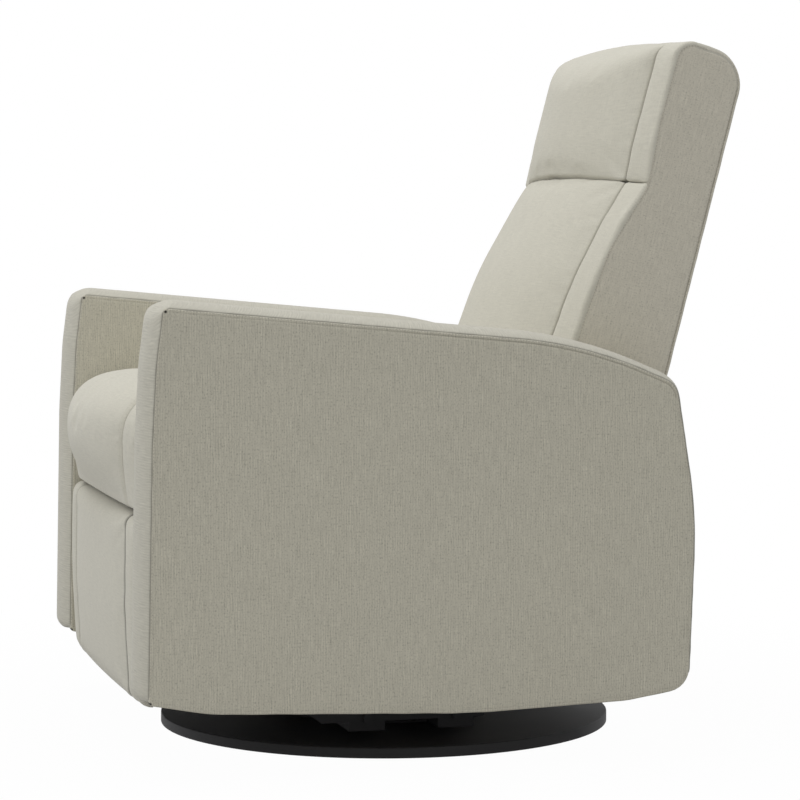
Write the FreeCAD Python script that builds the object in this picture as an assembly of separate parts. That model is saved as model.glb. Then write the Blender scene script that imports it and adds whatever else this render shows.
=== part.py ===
import FreeCAD, Part
import math
import os

# Swivel rocking armchair with a reclining back and a footrest.
# Millimetres. Z is up, the chair faces -Y, the sitter's left is +X.
# The origin is where the swivel axis meets the floor.

# Clearances
SOFT_GAP = 0.3
PIN_GAP = 0.05
OPEN_PIVOT_GAP = 0.6
PANEL_GAP = 6.0

# Floor base
DISC_R = 320.0
DISC_TOP = 16.0
DISC_WALL = 3.0
DISC_LIFT = 1.5
RING_EDGE = 8.0
RING_W = 27.0
RING_T = 3.0
KING_R = 8.0
KING_HEAD_R = 14.0
KING_HEAD_T = 7.0
KING_SPACE = 2.0
KING_END = 3.0
RACE_R = 135.0
RACE_T = 3.0
RACE_SPACE = 4.0
BALL_R = 4.0
BALL_RING_R = 110.0
BALL_COUNT = 20
CAGE_T = 1.6
CAGE_W = 20.0
NUT_T = 8.0
NUT_R = 14.0

# Swivel frame
RAIL_T = 4.0
RAIL_BOTTOM = 39.5
RAIL_H = 40.0
RAIL_FRONT = -165.0
RAIL_REAR = 79.0
RAIL_CHAMFER = (16.0, 11.5)
RAIL_CORNER_R = 3.0
RAIL_FLANGE = 32.0
BEAM_W = 50.0
BEAM_H = 26.0
BEAM_WALL = 3.0
BEAM_END_T = 8.0
BEAM_FRONT_Y = -85.0
BEAM_REAR_Y = 40.0
BOLT_R = 4.0
BOLT_HEAD_R = 7.0
BOLT_HEAD_T = 5.0
BOLT_GRIP = 10.0
SHAFT_R = 8.0
SHAFT_Z = 100.0
SHAFT_END = 6.0
EAR_R = 20.0

# Rocker springs
SPRING_INSET = 19.0
SPRING_Y = 60.0
SPRING_COIL_R = 13.0
SPRING_WIRE_R = 2.0
SPRING_TURNS = 5
SPRING_TOP = 130.0
SPRING_SEAT_R = 18.0
SPRING_SEAT_T = 3.0

# Mechanism plates and the layers of links inside them
PLATE_T = 4.0
RAIL_SPACE = 12.0
PLATE_FRONT_EDGE = 20.0
PLATE_REAR_EDGE = 18.0
PLATE_CHIN = 12.0
PLATE_FRONT_CUT = (40.0, 25.0)
PLATE_CORNER_R = 15.0
PLATE_SLOPE = 30.0
PLATE_HORN = 14.0
PLATE_HEEL = 24.0
PLATE_HORN_R = 12.0
PLATE_WAIST_RISE = 80.0
PLATE_WAIST_R = 30.0
PLATE_LIP = 4.0
PLATE_LIP_R = 3.0
BOSS_WALL = 4.0
BOSS_CORNER_R = 10.0
LAYER_T = 4.0
LAYER_SPACE = 1.0
BUSH_R = 11.0
BUSH_END = 1.0
STUD_R = 6.0
PIN_R = 5.0
LINK_W = 20.0
SLIM_LINK_W = 18.0

# Footrest linkage, side view (y, z)
DRIVE_PIVOT = (-200.0, 262.0)
DRIVE_LENGTH = 167.0
DRIVE_REST_DEG = 35.0
DRIVE_TURN_DEG = 86.4
DRIVE_TUBE_R = 12.5
DRIVE_TUBE_WALL = 3.0
DRIVE_HUB_W = 26.0
GUIDE_SHARE = 0.27
PUSH_ARM = 56.0
FOOT_PIVOT = (-326.0, 230.0)
ROD_ARM = 45.0

# Recline
RECLINE_Y = 100.0
RECLINE_SINK = 10.0
RECLINE_TURN_DEG = 36.0
ROD_SLOT_UP = 9.0
ROD_SLOT_ALONG = 3.0
ROD_EYE_RIM = 5.0
CRANK_W = 24.0

# Seat frame
INNER_HALF = 283.0
RAIL_WOOD_T = 25.0
SIDE_RAIL_WOOD_T = 27.0
SEAT_RAIL_BOTTOM = 285.0
SEAT_RAIL_TOP = 345.0
SEAT_RAIL_FRONT = -350.0
SEAT_REAR_RAIL_Y = 30.0
SEAT_SIDE_REAR = 62.0
SEAT_SPRING_COUNT = 5
SEAT_SPRING_EDGE = 72.0
SPRING_LOOP_COUNT = 9
SEAT_SPRING_HALF = 24.0
WIRE_R = 1.75
REAR_PANEL_Y = 304.0
REAR_PANEL_T = 12.0
REAR_PANEL_Z = (95.0, 270.0)

# Seat cushion
CUSHION_LIFT = 7.0
CUSHION_SINK = 9.0
CUSHION_OVERHANG = 91.0
CUSHION_T = 148.0
CUSHION_REAR_T = 124.0
CUSHION_REAR = 150.0
CUSHION_CROWN = 16.0
CUSHION_NOSE_CURVE = 26.0
CUSHION_SIDE_CURVE = 18.0
CUSHION_NOSE_R = 60.0
CUSHION_NOSE_DROP = 3.0
CUSHION_BREAK_Y = -150.0
CUSHION_BREAK_R = 600.0
CUSHION_REAR_R = 25.0
CUSHION_EDGE_R = 10.0
CUSHION_LIP = (8.0, 14.0)
CUSHION_LIP_R = 6.0
CUSHION_CHIN = 4.0
CUSHION_CHIN_R = 50.0
CUSHION_CHIN_SHARE = 0.75
STRIP_W = 66.0
LOFT_STATION_COUNT = 7

# Footrest
FOOT_DEPTH = 50.0
FOOT_TOP_SPACE = 5.0
FOOT_BOTTOM = 76.0
FOOT_SPACE = 20.0
FOOT_BOARD_T = 12.0
FOOT_EDGE_R = 17.0
FOOT_CROWN = 9.0
FOOT_SIDE_CURVE = 2.0
FOOT_SIDE_GAP = 3.0
FOOT_HEEL = (6.0, 2.0)
FOOT_BREAK_Z = 200.0
FOOT_BREAK_R = 900.0
FOOT_HEAD_IN = 2.0
FOOT_REAR_R = 2.0
FOOT_REAR_DROP = 2.0
FOOT_BOARD_EDGE = 12.0
FOOT_BOARD_HEAD = 10.0
FOOT_BRACKET_W = 22.0
FOOT_FLANGE = 18.0

# Arms: side outline as (y, z, corner radius), seam line at the outer face
ARM_T = 117.0
ARM_PANEL_T = 12.0
PANEL_EDGE_R = 4.0
BAND_T = 13.0
BAND_CROWN = 11.0
ARM_OUTLINE = [
    (-411.0, 101.0, 6.0),
    (-396.0, 606.0, 15.0),
    (170.0, 553.0, 600.0),
    (297.0, 499.0, 28.0),
    (324.5, 325.0, 600.0),
    (315.5, 93.5, 30.0),
    (230.0, 80.0, 150.0),
    (20.0, 72.5, 1200.0),
    (-330.0, 86.0, 300.0),
]
PADDED_EDGE_COUNT = 5
BAND_STATION_COUNT = 8
MITRE = (60.0, 75.0)
BAND_FOOT_Z = 104.0
POST_W = 45.0
ARM_RAIL_H = 28.0
ARM_RAIL_Z = 113.0
ARM_POST_DROP = 8.0
ARM_POST_INSET = 3.5
ARM_RAIL_DROP = 4.0
ARM_RAIL_INSET = (4.0, 3.0)
ARM_RAIL_REAR_INSET = 6.0
ARM_RAIL_BEND = 9.0

# Back, in its own tilted plane: u along the back, v forward from its rear face
BACK_FOOT = (327.0, 501.0)
BACK_TILT_DEG = 14.8
BACK_HALF = INNER_HALF - PANEL_GAP
SIDE_PANEL_T = 12.0
OUTER_BACK_T = 12.0
BACK_TOP_U = 452.0
BACK_TOP_ROLL = 27.0
OUTER_BACK_DROP = 50.0
OUTER_BACK_U = (-245.0, BACK_TOP_U - OUTER_BACK_DROP)
POST_V = (20.0, 60.0)
POST_U = (-210.0, BACK_TOP_U - BACK_TOP_ROLL)
BRACKET_SPINE = 85.0
BRACKET_W = 32.0
CROSS_RAIL_H = 40.0
CROSS_RAIL_U = (-70.0, POST_U[1] - CROSS_RAIL_H)
BACK_SPRING_COUNT = 4
BACK_SPRING_EDGE = 86.0
SIDE_OUTLINE = [
    (-60.0, 0.0, 8.0),
    (-60.0, 140.0, 8.0),
    (52.0, 135.0, 200.0),
    (150.0, 124.0, 150.0),
    (245.0, 95.0, 20.0),
    (335.0, 102.0, 200.0),
    (BACK_TOP_U - 2.0, 98.0, 24.0),
    (BACK_TOP_U - 2.0, 0.0, 48.0),
]
HEAD_BOTTOM_U = 249.0
LUMBAR_BOTTOM_U = -68.0
PAD_SWELL = 41.0
PAD_SIDE_DROP = 8.0
PAD_SPLIT = 0.5
PAD_LIFT = 4.0
PAD_REAR_R = (4.0, 6.0)
PAD_SPACE = 1.0
HEAD_LOW = (110.0, 6.0)
HEAD_LOW_SHARE = 0.9
HEAD_MIDDLE = (300.0, 112.0, 160.0)
HEAD_HIGH = (BACK_TOP_U - 12.0, 104.0, 18.0)
HEAD_HIGH_SHARES = (-1.15, 1.25, 0.9)
HEAD_TOP = (BACK_TOP_U + 1.0, 88.0, 14.0)
HEAD_TOP_SHARES = (0.05, 0.1, 0.0)
HEAD_REAR = (BACK_TOP_U - 1.5, 0.0, 47.0)
LUMBAR_LOW = (166.0, 24.0)
LUMBAR_MIDDLE = (95.0, 147.0, 500.0)
LUMBAR_HIGH = (190.0, 127.0, 200.0)
LUMBAR_HIGH_SHARE = 0.93
LUMBAR_EDGE = (111.0, 6.0)
LUMBAR_EDGE_SHARE = 0.87


def yz(point, x=0.0):
    return FreeCAD.Vector(x, point[0], point[1])


def step(start, end, share):
    return tuple(a + (b - a) * share for a, b in zip(start, end))


def plus(a, b):
    return (a[0] + b[0], a[1] + b[1])


def minus(a, b):
    return (a[0] - b[0], a[1] - b[1])


def polar(length, degrees):
    """Side-view offset that hangs down at 0 degrees and swings to the rear."""
    turn = math.radians(degrees)
    return (length * math.sin(turn), -length * math.cos(turn))


def back_point(u, v):
    tilt = math.radians(BACK_TILT_DEG)
    y = BACK_FOOT[0] + u * math.sin(tilt) - v * math.cos(tilt)
    z = BACK_FOOT[1] + u * math.cos(tilt) + v * math.sin(tilt)
    return (y, z)


def on_back(outline):
    return [(*back_point(u, v), r) for u, v, r in outline]


# Places that several pieces share
RING_R_OUT = DISC_R - RING_EDGE
RING_R_IN = RING_R_OUT - RING_W
KING_LOW_Z = DISC_TOP - DISC_WALL - KING_HEAD_T
RACE_LOW_Z = DISC_TOP
RACE_HIGH_Z = DISC_TOP + RACE_T + RACE_SPACE
BALL_Z = DISC_TOP + RACE_T + RACE_SPACE / 2
BEAM_Z = RACE_HIGH_Z + RACE_T
RAIL_TOP = RAIL_BOTTOM + RAIL_H
RECLINE_PIVOT = (RECLINE_Y, SEAT_RAIL_TOP - RECLINE_SINK)
CUSHION_BOTTOM = SEAT_RAIL_TOP + CUSHION_LIFT
CUSHION_NOSE_BOTTOM = SEAT_RAIL_TOP - CUSHION_SINK
CUSHION_NOSE_Y = SEAT_RAIL_FRONT - CUSHION_OVERHANG
CUSHION_TOP = CUSHION_BOTTOM + CUSHION_T
FOOT_TOP = CUSHION_NOSE_BOTTOM - FOOT_TOP_SPACE
FOOT_BOARD_Y = SEAT_RAIL_FRONT - FOOT_SPACE
FOOT_FRONT = FOOT_BOARD_Y - FOOT_DEPTH
PLATE_OUT = INNER_HALF - SIDE_RAIL_WOOD_T
PLATE_X = PLATE_OUT - PLATE_T
RAIL_WEB_X = PLATE_X - RAIL_SPACE
WEB_IN = RAIL_WEB_X - RAIL_T
SHAFT_END_X = PLATE_OUT + SHAFT_END
SPRING_X = RAIL_WEB_X - SPRING_INSET
SEAM_X = INNER_HALF - STRIP_W
LAYER_1 = PLATE_X - LAYER_SPACE - LAYER_T
LAYER_2 = LAYER_1 - LAYER_SPACE - LAYER_T
LAYER_3 = LAYER_2 - LAYER_SPACE - LAYER_T
DRIVE_END = plus(DRIVE_PIVOT, polar(DRIVE_LENGTH, DRIVE_REST_DEG))
GUIDE_END = step(DRIVE_END, FOOT_PIVOT, GUIDE_SHARE)
GUIDE_PIVOT = plus(DRIVE_PIVOT, minus(GUIDE_END, DRIVE_END))
PUSH_START = step(DRIVE_END, DRIVE_PIVOT, PUSH_ARM / DRIVE_LENGTH)
PUSH_END = plus(FOOT_PIVOT, minus(PUSH_START, DRIVE_END))
ROD_START = plus(DRIVE_PIVOT, polar(ROD_ARM, DRIVE_TURN_DEG / 2))
ROD_SWING = 2 * ROD_ARM * math.sin(math.radians(DRIVE_TURN_DEG / 2))
BRACKET_ARM = ROD_SWING / (2 * math.sin(math.radians(RECLINE_TURN_DEG / 2)))
ROD_END = plus(RECLINE_PIVOT, polar(BRACKET_ARM, RECLINE_TURN_DEG / 2))
ARM_OUT = INNER_HALF + ARM_T
POST_X1 = BACK_HALF - SIDE_PANEL_T
POST_X0 = LAYER_1 + LAYER_T
FOOT_HALF = INNER_HALF - FOOT_SIDE_GAP
PAD_BACK_V = POST_V[1] + 2 * WIRE_R + PAD_SPACE


def offset_outline(outline, distances):
    """Moves each edge of a closed outline outwards by its own distance."""
    moved = []
    count = len(outline)
    lines = []
    for i in range(count):
        a, b = outline[i], outline[(i + 1) % count]
        length = math.hypot(b[0] - a[0], b[1] - a[1])
        along = ((b[0] - a[0]) / length, (b[1] - a[1]) / length)
        out = (-along[1], along[0])
        shift = distances[i]
        lines.append(((a[0] + out[0] * shift, a[1] + out[1] * shift), along))
    for i in range(count):
        (p, d), (q, e) = lines[i - 1], lines[i]
        cross = d[0] * e[1] - d[1] * e[0]
        t = ((q[0] - p[0]) * e[1] - (q[1] - p[1]) * e[0]) / cross
        radius = outline[i][2]
        if radius:
            turn = 1 if cross < 0 else -1
            radius = max(1.0, radius + turn * (distances[i - 1] + distances[i]) / 2)
        moved.append((p[0] + d[0] * t, p[1] + d[1] * t, radius))
    return moved


def loop_wire(outline, x):
    """Closed wire of lines and arcs through (y, z, radius) corners, at one x."""
    count = len(outline)
    corners = []
    for i, (y, z, radius) in enumerate(outline):
        here = FreeCAD.Vector(x, y, z)
        back = yz(outline[i - 1], x) - here
        ahead = yz(outline[(i + 1) % count], x) - here
        if not radius:
            corners.append((here, None, here))
            continue
        back.normalize()
        ahead.normalize()
        half = back.getAngle(ahead) / 2
        reach = radius / math.tan(half)
        middle = back + ahead
        middle.normalize()
        near = radius / math.sin(half) - radius
        corners.append((here + back * reach, here + middle * near, here + ahead * reach))
    edges = []
    for i, (start, arc_mid, end) in enumerate(corners):
        if arc_mid:
            edges.append(Part.Arc(start, arc_mid, end).toShape())
        after = corners[(i + 1) % count][0]
        if end.distanceToPoint(after) > 1e-6:
            edges.append(Part.makeLine(end, after))
    return Part.Wire(edges)


def slab(outline, x0, x1):
    face = Part.Face(loop_wire(outline, x0))
    return face.extrude(FreeCAD.Vector(x1 - x0, 0, 0))


def loft(outline_at, half):
    """Solid between -half and half, through a side outline at each station."""
    wires = []
    for i in range(-LOFT_STATION_COUNT, LOFT_STATION_COUNT + 1):
        x = half * i / LOFT_STATION_COUNT
        wires.append(loop_wire(outline_at(abs(x)), x))
    return Part.makeLoft(wires, True, True)


def dome(share):
    """Height of a soft crown, 1 in the middle and 0 at the seams."""
    return max(0.0, 1 - share * share) ** 0.85


def box(x, y, z):
    """Box from (low, high) pairs."""
    size = [high - low for low, high in (x, y, z)]
    return Part.makeBox(*size, FreeCAD.Vector(x[0], y[0], z[0]))


def rod_x(point, radius, x0, x1):
    start = yz(point, min(x0, x1))
    return Part.makeCylinder(radius, abs(x1 - x0), start, FreeCAD.Vector(1, 0, 0))


def rod_z(x, y, radius, z0, z1):
    return Part.makeCylinder(radius, z1 - z0, FreeCAD.Vector(x, y, z0))


def bar(start, end, width, x0, x1):
    """Flat bar with round ends, from one side-view point to another."""
    along = minus(end, start)
    length = math.hypot(*along)
    side = (-along[1] / length * width / 2, along[0] / length * width / 2)
    corners = [plus(start, side), plus(end, side), minus(end, side), minus(start, side)]
    middle = slab([(*p, 0) for p in corners], x0, x1)
    ends = [rod_x(p, width / 2, x0, x1) for p in (start, end)]
    return middle.fuse(ends).removeSplitter()


def mirrored(shape):
    return shape.mirror(FreeCAD.Vector(0, 0, 0), FreeCAD.Vector(1, 0, 0))


def pair(shape):
    return Part.makeCompound([shape, mirrored(shape)])


def biarc(start, start_dir, end, end_dir):
    """Two arcs that join two points smoothly."""
    chord = end - start
    both = start_dir + end_dir
    a = both.dot(both) - 4
    b = -2 * chord.dot(both)
    c = chord.dot(chord)
    reach = (-b - math.sqrt(b * b - 4 * a * c)) / (2 * a)
    near = start + start_dir * reach
    far = end - end_dir * reach
    joint = (near + far) * 0.5
    edges = []
    for p, corner, q in ((start, near, joint), (joint, far, end)):
        middle = (p + q) * 0.5
        cosine = (q - p).normalize().dot((corner - p).normalize())
        on_arc = middle + (corner - middle) * (cosine / (1 + cosine))
        edges.append(Part.Arc(p, on_arc, q).toShape())
    return edges


def coil(centre, coil_r, wire_r, turns, z0, z1):
    """Round-wire coil spring as one tube along a helix of quarter-turn biarcs."""
    rise = (z1 - z0 - 2 * wire_r) / turns
    steps = 4 * turns
    points = []
    for i in range(steps + 1):
        angle = math.pi / 2 * i
        place = FreeCAD.Vector(
            centre[0] + coil_r * math.cos(angle),
            centre[1] + coil_r * math.sin(angle),
            z0 + wire_r + rise * i / 4,
        )
        along = FreeCAD.Vector(-math.sin(angle), math.cos(angle), rise / (2 * math.pi * coil_r))
        points.append((place, along.normalize()))
    edges = []
    for (p, p_dir), (q, q_dir) in zip(points, points[1:]):
        edges += biarc(p, p_dir, q, q_dir)
    return tube(edges, wire_r, points[0][1])


def tube(edges, radius, direction):
    path = Part.Wire(edges)
    start = path.OrderedVertexes[0].Point
    section = Part.Wire([Part.makeCircle(radius, start, direction)])
    return path.makePipeShell([section], True, False)


def spread(count, half):
    """Evenly spaced places across the chair, from -half to half."""
    return [half * (2 * i / (count - 1) - 1) for i in range(count)]


def sinuous(place, run):
    """Flat sinuous spring: straight runs across, joined by half turns along its run."""
    across = FreeCAD.Vector(1, 0, 0)
    pitch = run.Length / SPRING_LOOP_COUNT
    along = FreeCAD.Vector(run).normalize()
    bend = pitch / 2
    edges = []
    here = place - across * SEAT_SPRING_HALF
    for i in range(SPRING_LOOP_COUNT + 1):
        side = 1 if i % 2 == 0 else -1
        there = here + across * (2 * SEAT_SPRING_HALF * side)
        edges.append(Part.makeLine(here, there))
        if i == SPRING_LOOP_COUNT:
            break
        outer = there + across * (bend * side) + along * bend
        ahead = there + along * pitch
        diagonal = bend * math.sqrt(0.5)
        first = there + across * (diagonal * side) + along * (bend - diagonal)
        second = there + across * (diagonal * side) + along * (bend + diagonal)
        edges.append(Part.Arc(there, first, outer).toShape())
        edges.append(Part.Arc(outer, second, ahead).toShape())
        here = ahead
    return tube(edges, WIRE_R, across)


# Floor base


def base_disc():
    outer = rod_z(0, 0, DISC_R, DISC_LIFT, DISC_TOP)
    rim = [edge for edge in outer.Edges if abs(edge.BoundBox.ZMin - DISC_TOP) < 0.01]
    outer = outer.makeFillet(DISC_WALL / 2, rim)
    hollow = rod_z(0, 0, DISC_R - DISC_WALL, 0, DISC_TOP - DISC_WALL)
    hole = rod_z(0, 0, KING_R + PIN_GAP, 0, DISC_TOP)
    return outer.cut(hollow).cut(hole)


def base_core():
    core = rod_z(0, 0, DISC_R - DISC_WALL - SOFT_GAP, RING_T, DISC_TOP - DISC_WALL)
    return core.cut(rod_z(0, 0, KING_HEAD_R + KING_SPACE, 0, DISC_TOP))


def floor_ring():
    return rod_z(0, 0, RING_R_OUT, 0, RING_T).cut(rod_z(0, 0, RING_R_IN, 0, RING_T))


def race(z):
    """Bearing plate with the groove that its balls run in."""
    plate = rod_z(0, 0, RACE_R, z, z + RACE_T)
    plate = plate.cut(rod_z(0, 0, KING_R + PIN_GAP, z, z + RACE_T))
    centre = FreeCAD.Vector(0, 0, BALL_Z)
    return plate.cut(Part.makeTorus(BALL_RING_R, BALL_R + PIN_GAP, centre))


def ball_places():
    for i in range(BALL_COUNT):
        angle = 2 * math.pi * i / BALL_COUNT
        yield BALL_RING_R * math.cos(angle), BALL_RING_R * math.sin(angle)


def ball_ring():
    low, high = BALL_Z - CAGE_T / 2, BALL_Z + CAGE_T / 2
    cage = rod_z(0, 0, BALL_RING_R + CAGE_W / 2, low, high)
    cage = cage.cut(rod_z(0, 0, BALL_RING_R - CAGE_W / 2, low, high))
    holes = [rod_z(x, y, BALL_R + SOFT_GAP, low, high) for x, y in ball_places()]
    balls = [Part.makeSphere(BALL_R, FreeCAD.Vector(x, y, BALL_Z)) for x, y in ball_places()]
    return Part.makeCompound([cage.cut(holes)] + balls)


def hexagon(radius, z0, z1):
    corners = []
    for i in range(7):
        angle = math.pi / 3 * i
        corners.append(FreeCAD.Vector(radius * math.cos(angle), radius * math.sin(angle), z0))
    face = Part.Face(Part.makePolygon(corners))
    return face.extrude(FreeCAD.Vector(0, 0, z1 - z0))


def king_bolt():
    head = rod_z(0, 0, KING_HEAD_R, KING_LOW_Z, KING_LOW_Z + KING_HEAD_T)
    nut_z = BEAM_Z + SOFT_GAP
    shank = rod_z(0, 0, KING_R, KING_LOW_Z, nut_z + NUT_T + KING_END)
    nut = hexagon(NUT_R, nut_z, nut_z + NUT_T).cut(rod_z(0, 0, KING_R, nut_z, nut_z + NUT_T))
    return Part.makeCompound([head.fuse(shank).removeSplitter(), nut])


# Swivel frame


def cross_beam(y):
    """Box-section beam with a thick plate in each end for the rail bolt."""
    outside = box((-WEB_IN, WEB_IN), (y - BEAM_W / 2, y + BEAM_W / 2), (BEAM_Z, BEAM_Z + BEAM_H))
    inner_x = WEB_IN - BEAM_END_T
    inner_y = (y - BEAM_W / 2 + BEAM_WALL, y + BEAM_W / 2 - BEAM_WALL)
    inner_z = (BEAM_Z + BEAM_WALL, BEAM_Z + BEAM_H - BEAM_WALL)
    beam = outside.cut(box((-inner_x, inner_x), inner_y, inner_z))
    hole = [rod_x(p, BOLT_R + PIN_GAP, -WEB_IN, WEB_IN) for p in bolt_places() if p[0] == y]
    return beam.cut(hole)


def cross_beams():
    return Part.makeCompound([cross_beam(BEAM_FRONT_Y), cross_beam(BEAM_REAR_Y)])


def bolt_places():
    for y in (BEAM_FRONT_Y, BEAM_REAR_Y):
        yield (y, (RAIL_BOTTOM + BEAM_Z + BEAM_H - BEAM_WALL) / 2)


def side_rail():
    along, up = RAIL_CHAMFER
    outline = [
        (RAIL_FRONT, RAIL_BOTTOM + up, RAIL_CORNER_R),
        (RAIL_FRONT, RAIL_TOP, 0),
        (RAIL_REAR, RAIL_TOP, 0),
        (RAIL_REAR, RAIL_BOTTOM, RAIL_CORNER_R),
        (RAIL_FRONT + along, RAIL_BOTTOM, RAIL_CORNER_R),
    ]
    web = slab(outline, WEB_IN, RAIL_WEB_X)
    flange_x = (RAIL_WEB_X - RAIL_FLANGE, WEB_IN)
    flange = box(flange_x, (RAIL_FRONT, RAIL_REAR), (RAIL_TOP - RAIL_T, RAIL_TOP))
    ear = bar((0, RAIL_TOP), (0, SHAFT_Z), 2 * EAR_R, WEB_IN, RAIL_WEB_X)
    rail = web.fuse([flange, ear]).removeSplitter()
    cuts = [rod_x((0, SHAFT_Z), SHAFT_R + PIN_GAP, WEB_IN, RAIL_WEB_X)]
    cuts += [rod_x(p, BOLT_R + PIN_GAP, WEB_IN, RAIL_WEB_X) for p in bolt_places()]
    return rail.cut(cuts)


def rocker_shaft():
    return rod_x((0, SHAFT_Z), SHAFT_R, -SHAFT_END_X, SHAFT_END_X)


def rail_bolts():
    bolts = []
    for p in bolt_places():
        shank = rod_x(p, BOLT_R, WEB_IN - BOLT_GRIP, RAIL_WEB_X)
        head = rod_x(p, BOLT_HEAD_R, RAIL_WEB_X, RAIL_WEB_X + BOLT_HEAD_T)
        bolt = shank.fuse(head).removeSplitter()
        bolts += [bolt, mirrored(bolt)]
    return Part.makeCompound(bolts)


def rocker_springs():
    low = RAIL_TOP + SOFT_GAP
    high = SPRING_TOP - SOFT_GAP
    front = coil((SPRING_X, -SPRING_Y), SPRING_COIL_R, SPRING_WIRE_R, SPRING_TURNS, low, high)
    rear = coil((SPRING_X, SPRING_Y), SPRING_COIL_R, SPRING_WIRE_R, SPRING_TURNS, low, high)
    return Part.makeCompound([front, rear, mirrored(front), mirrored(rear)])


# Rocking chair body


def mechanism_plate():
    reach = SPRING_Y + SPRING_SEAT_R
    front = GUIDE_PIVOT[0] - PLATE_FRONT_EDGE
    rear = RECLINE_PIVOT[0] + PLATE_REAR_EDGE
    top = SEAT_RAIL_TOP
    boss = BUSH_R + BOSS_WALL
    lip_z = SPRING_TOP - PLATE_LIP
    waist_z = SHAFT_Z + PLATE_WAIST_RISE
    outline = [
        (front, DRIVE_PIVOT[1] - PLATE_CHIN, PLATE_CORNER_R),
        (front, top - PLATE_FRONT_CUT[1], PLATE_CORNER_R),
        (front + PLATE_FRONT_CUT[0], top, PLATE_CORNER_R),
        (RECLINE_PIVOT[0] - PLATE_SLOPE, top, PLATE_HORN_R),
        (rear, RECLINE_PIVOT[1] + PLATE_HORN, PLATE_HORN_R),
        (rear, RECLINE_PIVOT[1] - PLATE_HEEL, PLATE_HORN_R),
        (reach, waist_z, PLATE_WAIST_R),
        (reach, lip_z, PLATE_LIP_R),
        (boss, SHAFT_Z - boss, BOSS_CORNER_R),
        (-boss, SHAFT_Z - boss, BOSS_CORNER_R),
        (-reach, lip_z, PLATE_LIP_R),
        (-reach, waist_z, PLATE_WAIST_R),
    ]
    plate = slab(outline, PLATE_X, PLATE_OUT)
    plate = plate.cut(rod_x((0, SHAFT_Z), BUSH_R + PIN_GAP, PLATE_X, PLATE_OUT))
    studs = (DRIVE_PIVOT, GUIDE_PIVOT, RECLINE_PIVOT)
    extras = [rod_x(p, STUD_R, LAYER_1 - LAYER_SPACE / 2, PLATE_X) for p in studs]
    seat_x = (SPRING_X - SPRING_SEAT_R, PLATE_X)
    for y in (-SPRING_Y, SPRING_Y):
        span = (y - SPRING_SEAT_R, y + SPRING_SEAT_R)
        extras.append(box(seat_x, span, (SPRING_TOP, SPRING_TOP + SPRING_SEAT_T)))
    return plate.fuse(extras).removeSplitter()


def shaft_bushes():
    x0, x1 = RAIL_WEB_X + SOFT_GAP, PLATE_OUT + BUSH_END
    sleeve = rod_x((0, SHAFT_Z), BUSH_R, x0, x1)
    sleeve = sleeve.cut(rod_x((0, SHAFT_Z), SHAFT_R + PIN_GAP, x0, x1))
    return pair(sleeve)


def seat_rail_front():
    y = (SEAT_RAIL_FRONT, SEAT_RAIL_FRONT + RAIL_WOOD_T)
    return box((-PLATE_OUT, PLATE_OUT), y, (SEAT_RAIL_BOTTOM, SEAT_RAIL_TOP))


def seat_rail_rear():
    y = (SEAT_REAR_RAIL_Y, SEAT_REAR_RAIL_Y + RAIL_WOOD_T)
    return box((-PLATE_X, PLATE_X), y, (SEAT_RAIL_BOTTOM, SEAT_RAIL_TOP))


def seat_rail_left():
    y = (SEAT_RAIL_FRONT, SEAT_SIDE_REAR)
    return box((PLATE_OUT, INNER_HALF), y, (SEAT_RAIL_BOTTOM, SEAT_RAIL_TOP))


def seat_springs():
    springs = []
    y0 = SEAT_RAIL_FRONT + RAIL_WOOD_T / 2
    y1 = SEAT_REAR_RAIL_Y + RAIL_WOOD_T / 2
    z = SEAT_RAIL_TOP + WIRE_R
    run = FreeCAD.Vector(0, y1 - y0, 0)
    for x in spread(SEAT_SPRING_COUNT, PLATE_X - SEAT_SPRING_EDGE):
        springs.append(sinuous(FreeCAD.Vector(x, y0, z), run))
    return Part.makeCompound(springs)


def past_seam(x, half):
    """Share of the side strip that lies inside x, 0 at the seam and 1 at the edge."""
    return max(0.0, (x - SEAM_X) / (half - SEAM_X))


def cushion_outline(x):
    """Side outline of the seat cushion, with its nose and top drawn in to the sides."""
    side = past_seam(x, INNER_HALF)
    nose = CUSHION_NOSE_CURVE * min(1.0, x / SEAM_X) ** 2 + CUSHION_SIDE_CURVE * side**1.6
    top = CUSHION_TOP - CUSHION_CROWN * (1 - dome(x / INNER_HALF))
    chin = CUSHION_CHIN_R - CUSHION_CHIN_SHARE * nose
    return [
        (CUSHION_NOSE_Y + nose, top - CUSHION_NOSE_DROP, CUSHION_NOSE_R),
        (CUSHION_BREAK_Y, top, CUSHION_BREAK_R),
        (CUSHION_REAR, top - CUSHION_T + CUSHION_REAR_T, CUSHION_REAR_R),
        (CUSHION_REAR, CUSHION_BOTTOM, CUSHION_EDGE_R),
        (SEAT_RAIL_FRONT - CUSHION_LIP[0], CUSHION_BOTTOM, CUSHION_LIP_R),
        (SEAT_RAIL_FRONT - CUSHION_LIP[1], CUSHION_NOSE_BOTTOM, CUSHION_LIP_R),
        (CUSHION_NOSE_Y + nose + CUSHION_CHIN, CUSHION_NOSE_BOTTOM, chin),
    ]


def seat_cushion():
    return loft(cushion_outline, INNER_HALF - SOFT_GAP)


def rear_panel():
    y = (REAR_PANEL_Y, REAR_PANEL_Y + REAR_PANEL_T)
    return box((-INNER_HALF, INNER_HALF), y, REAR_PANEL_Z)


# Arms


def arm_outline(inset):
    return offset_outline(ARM_OUTLINE, [-inset] * len(ARM_OUTLINE))


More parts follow.
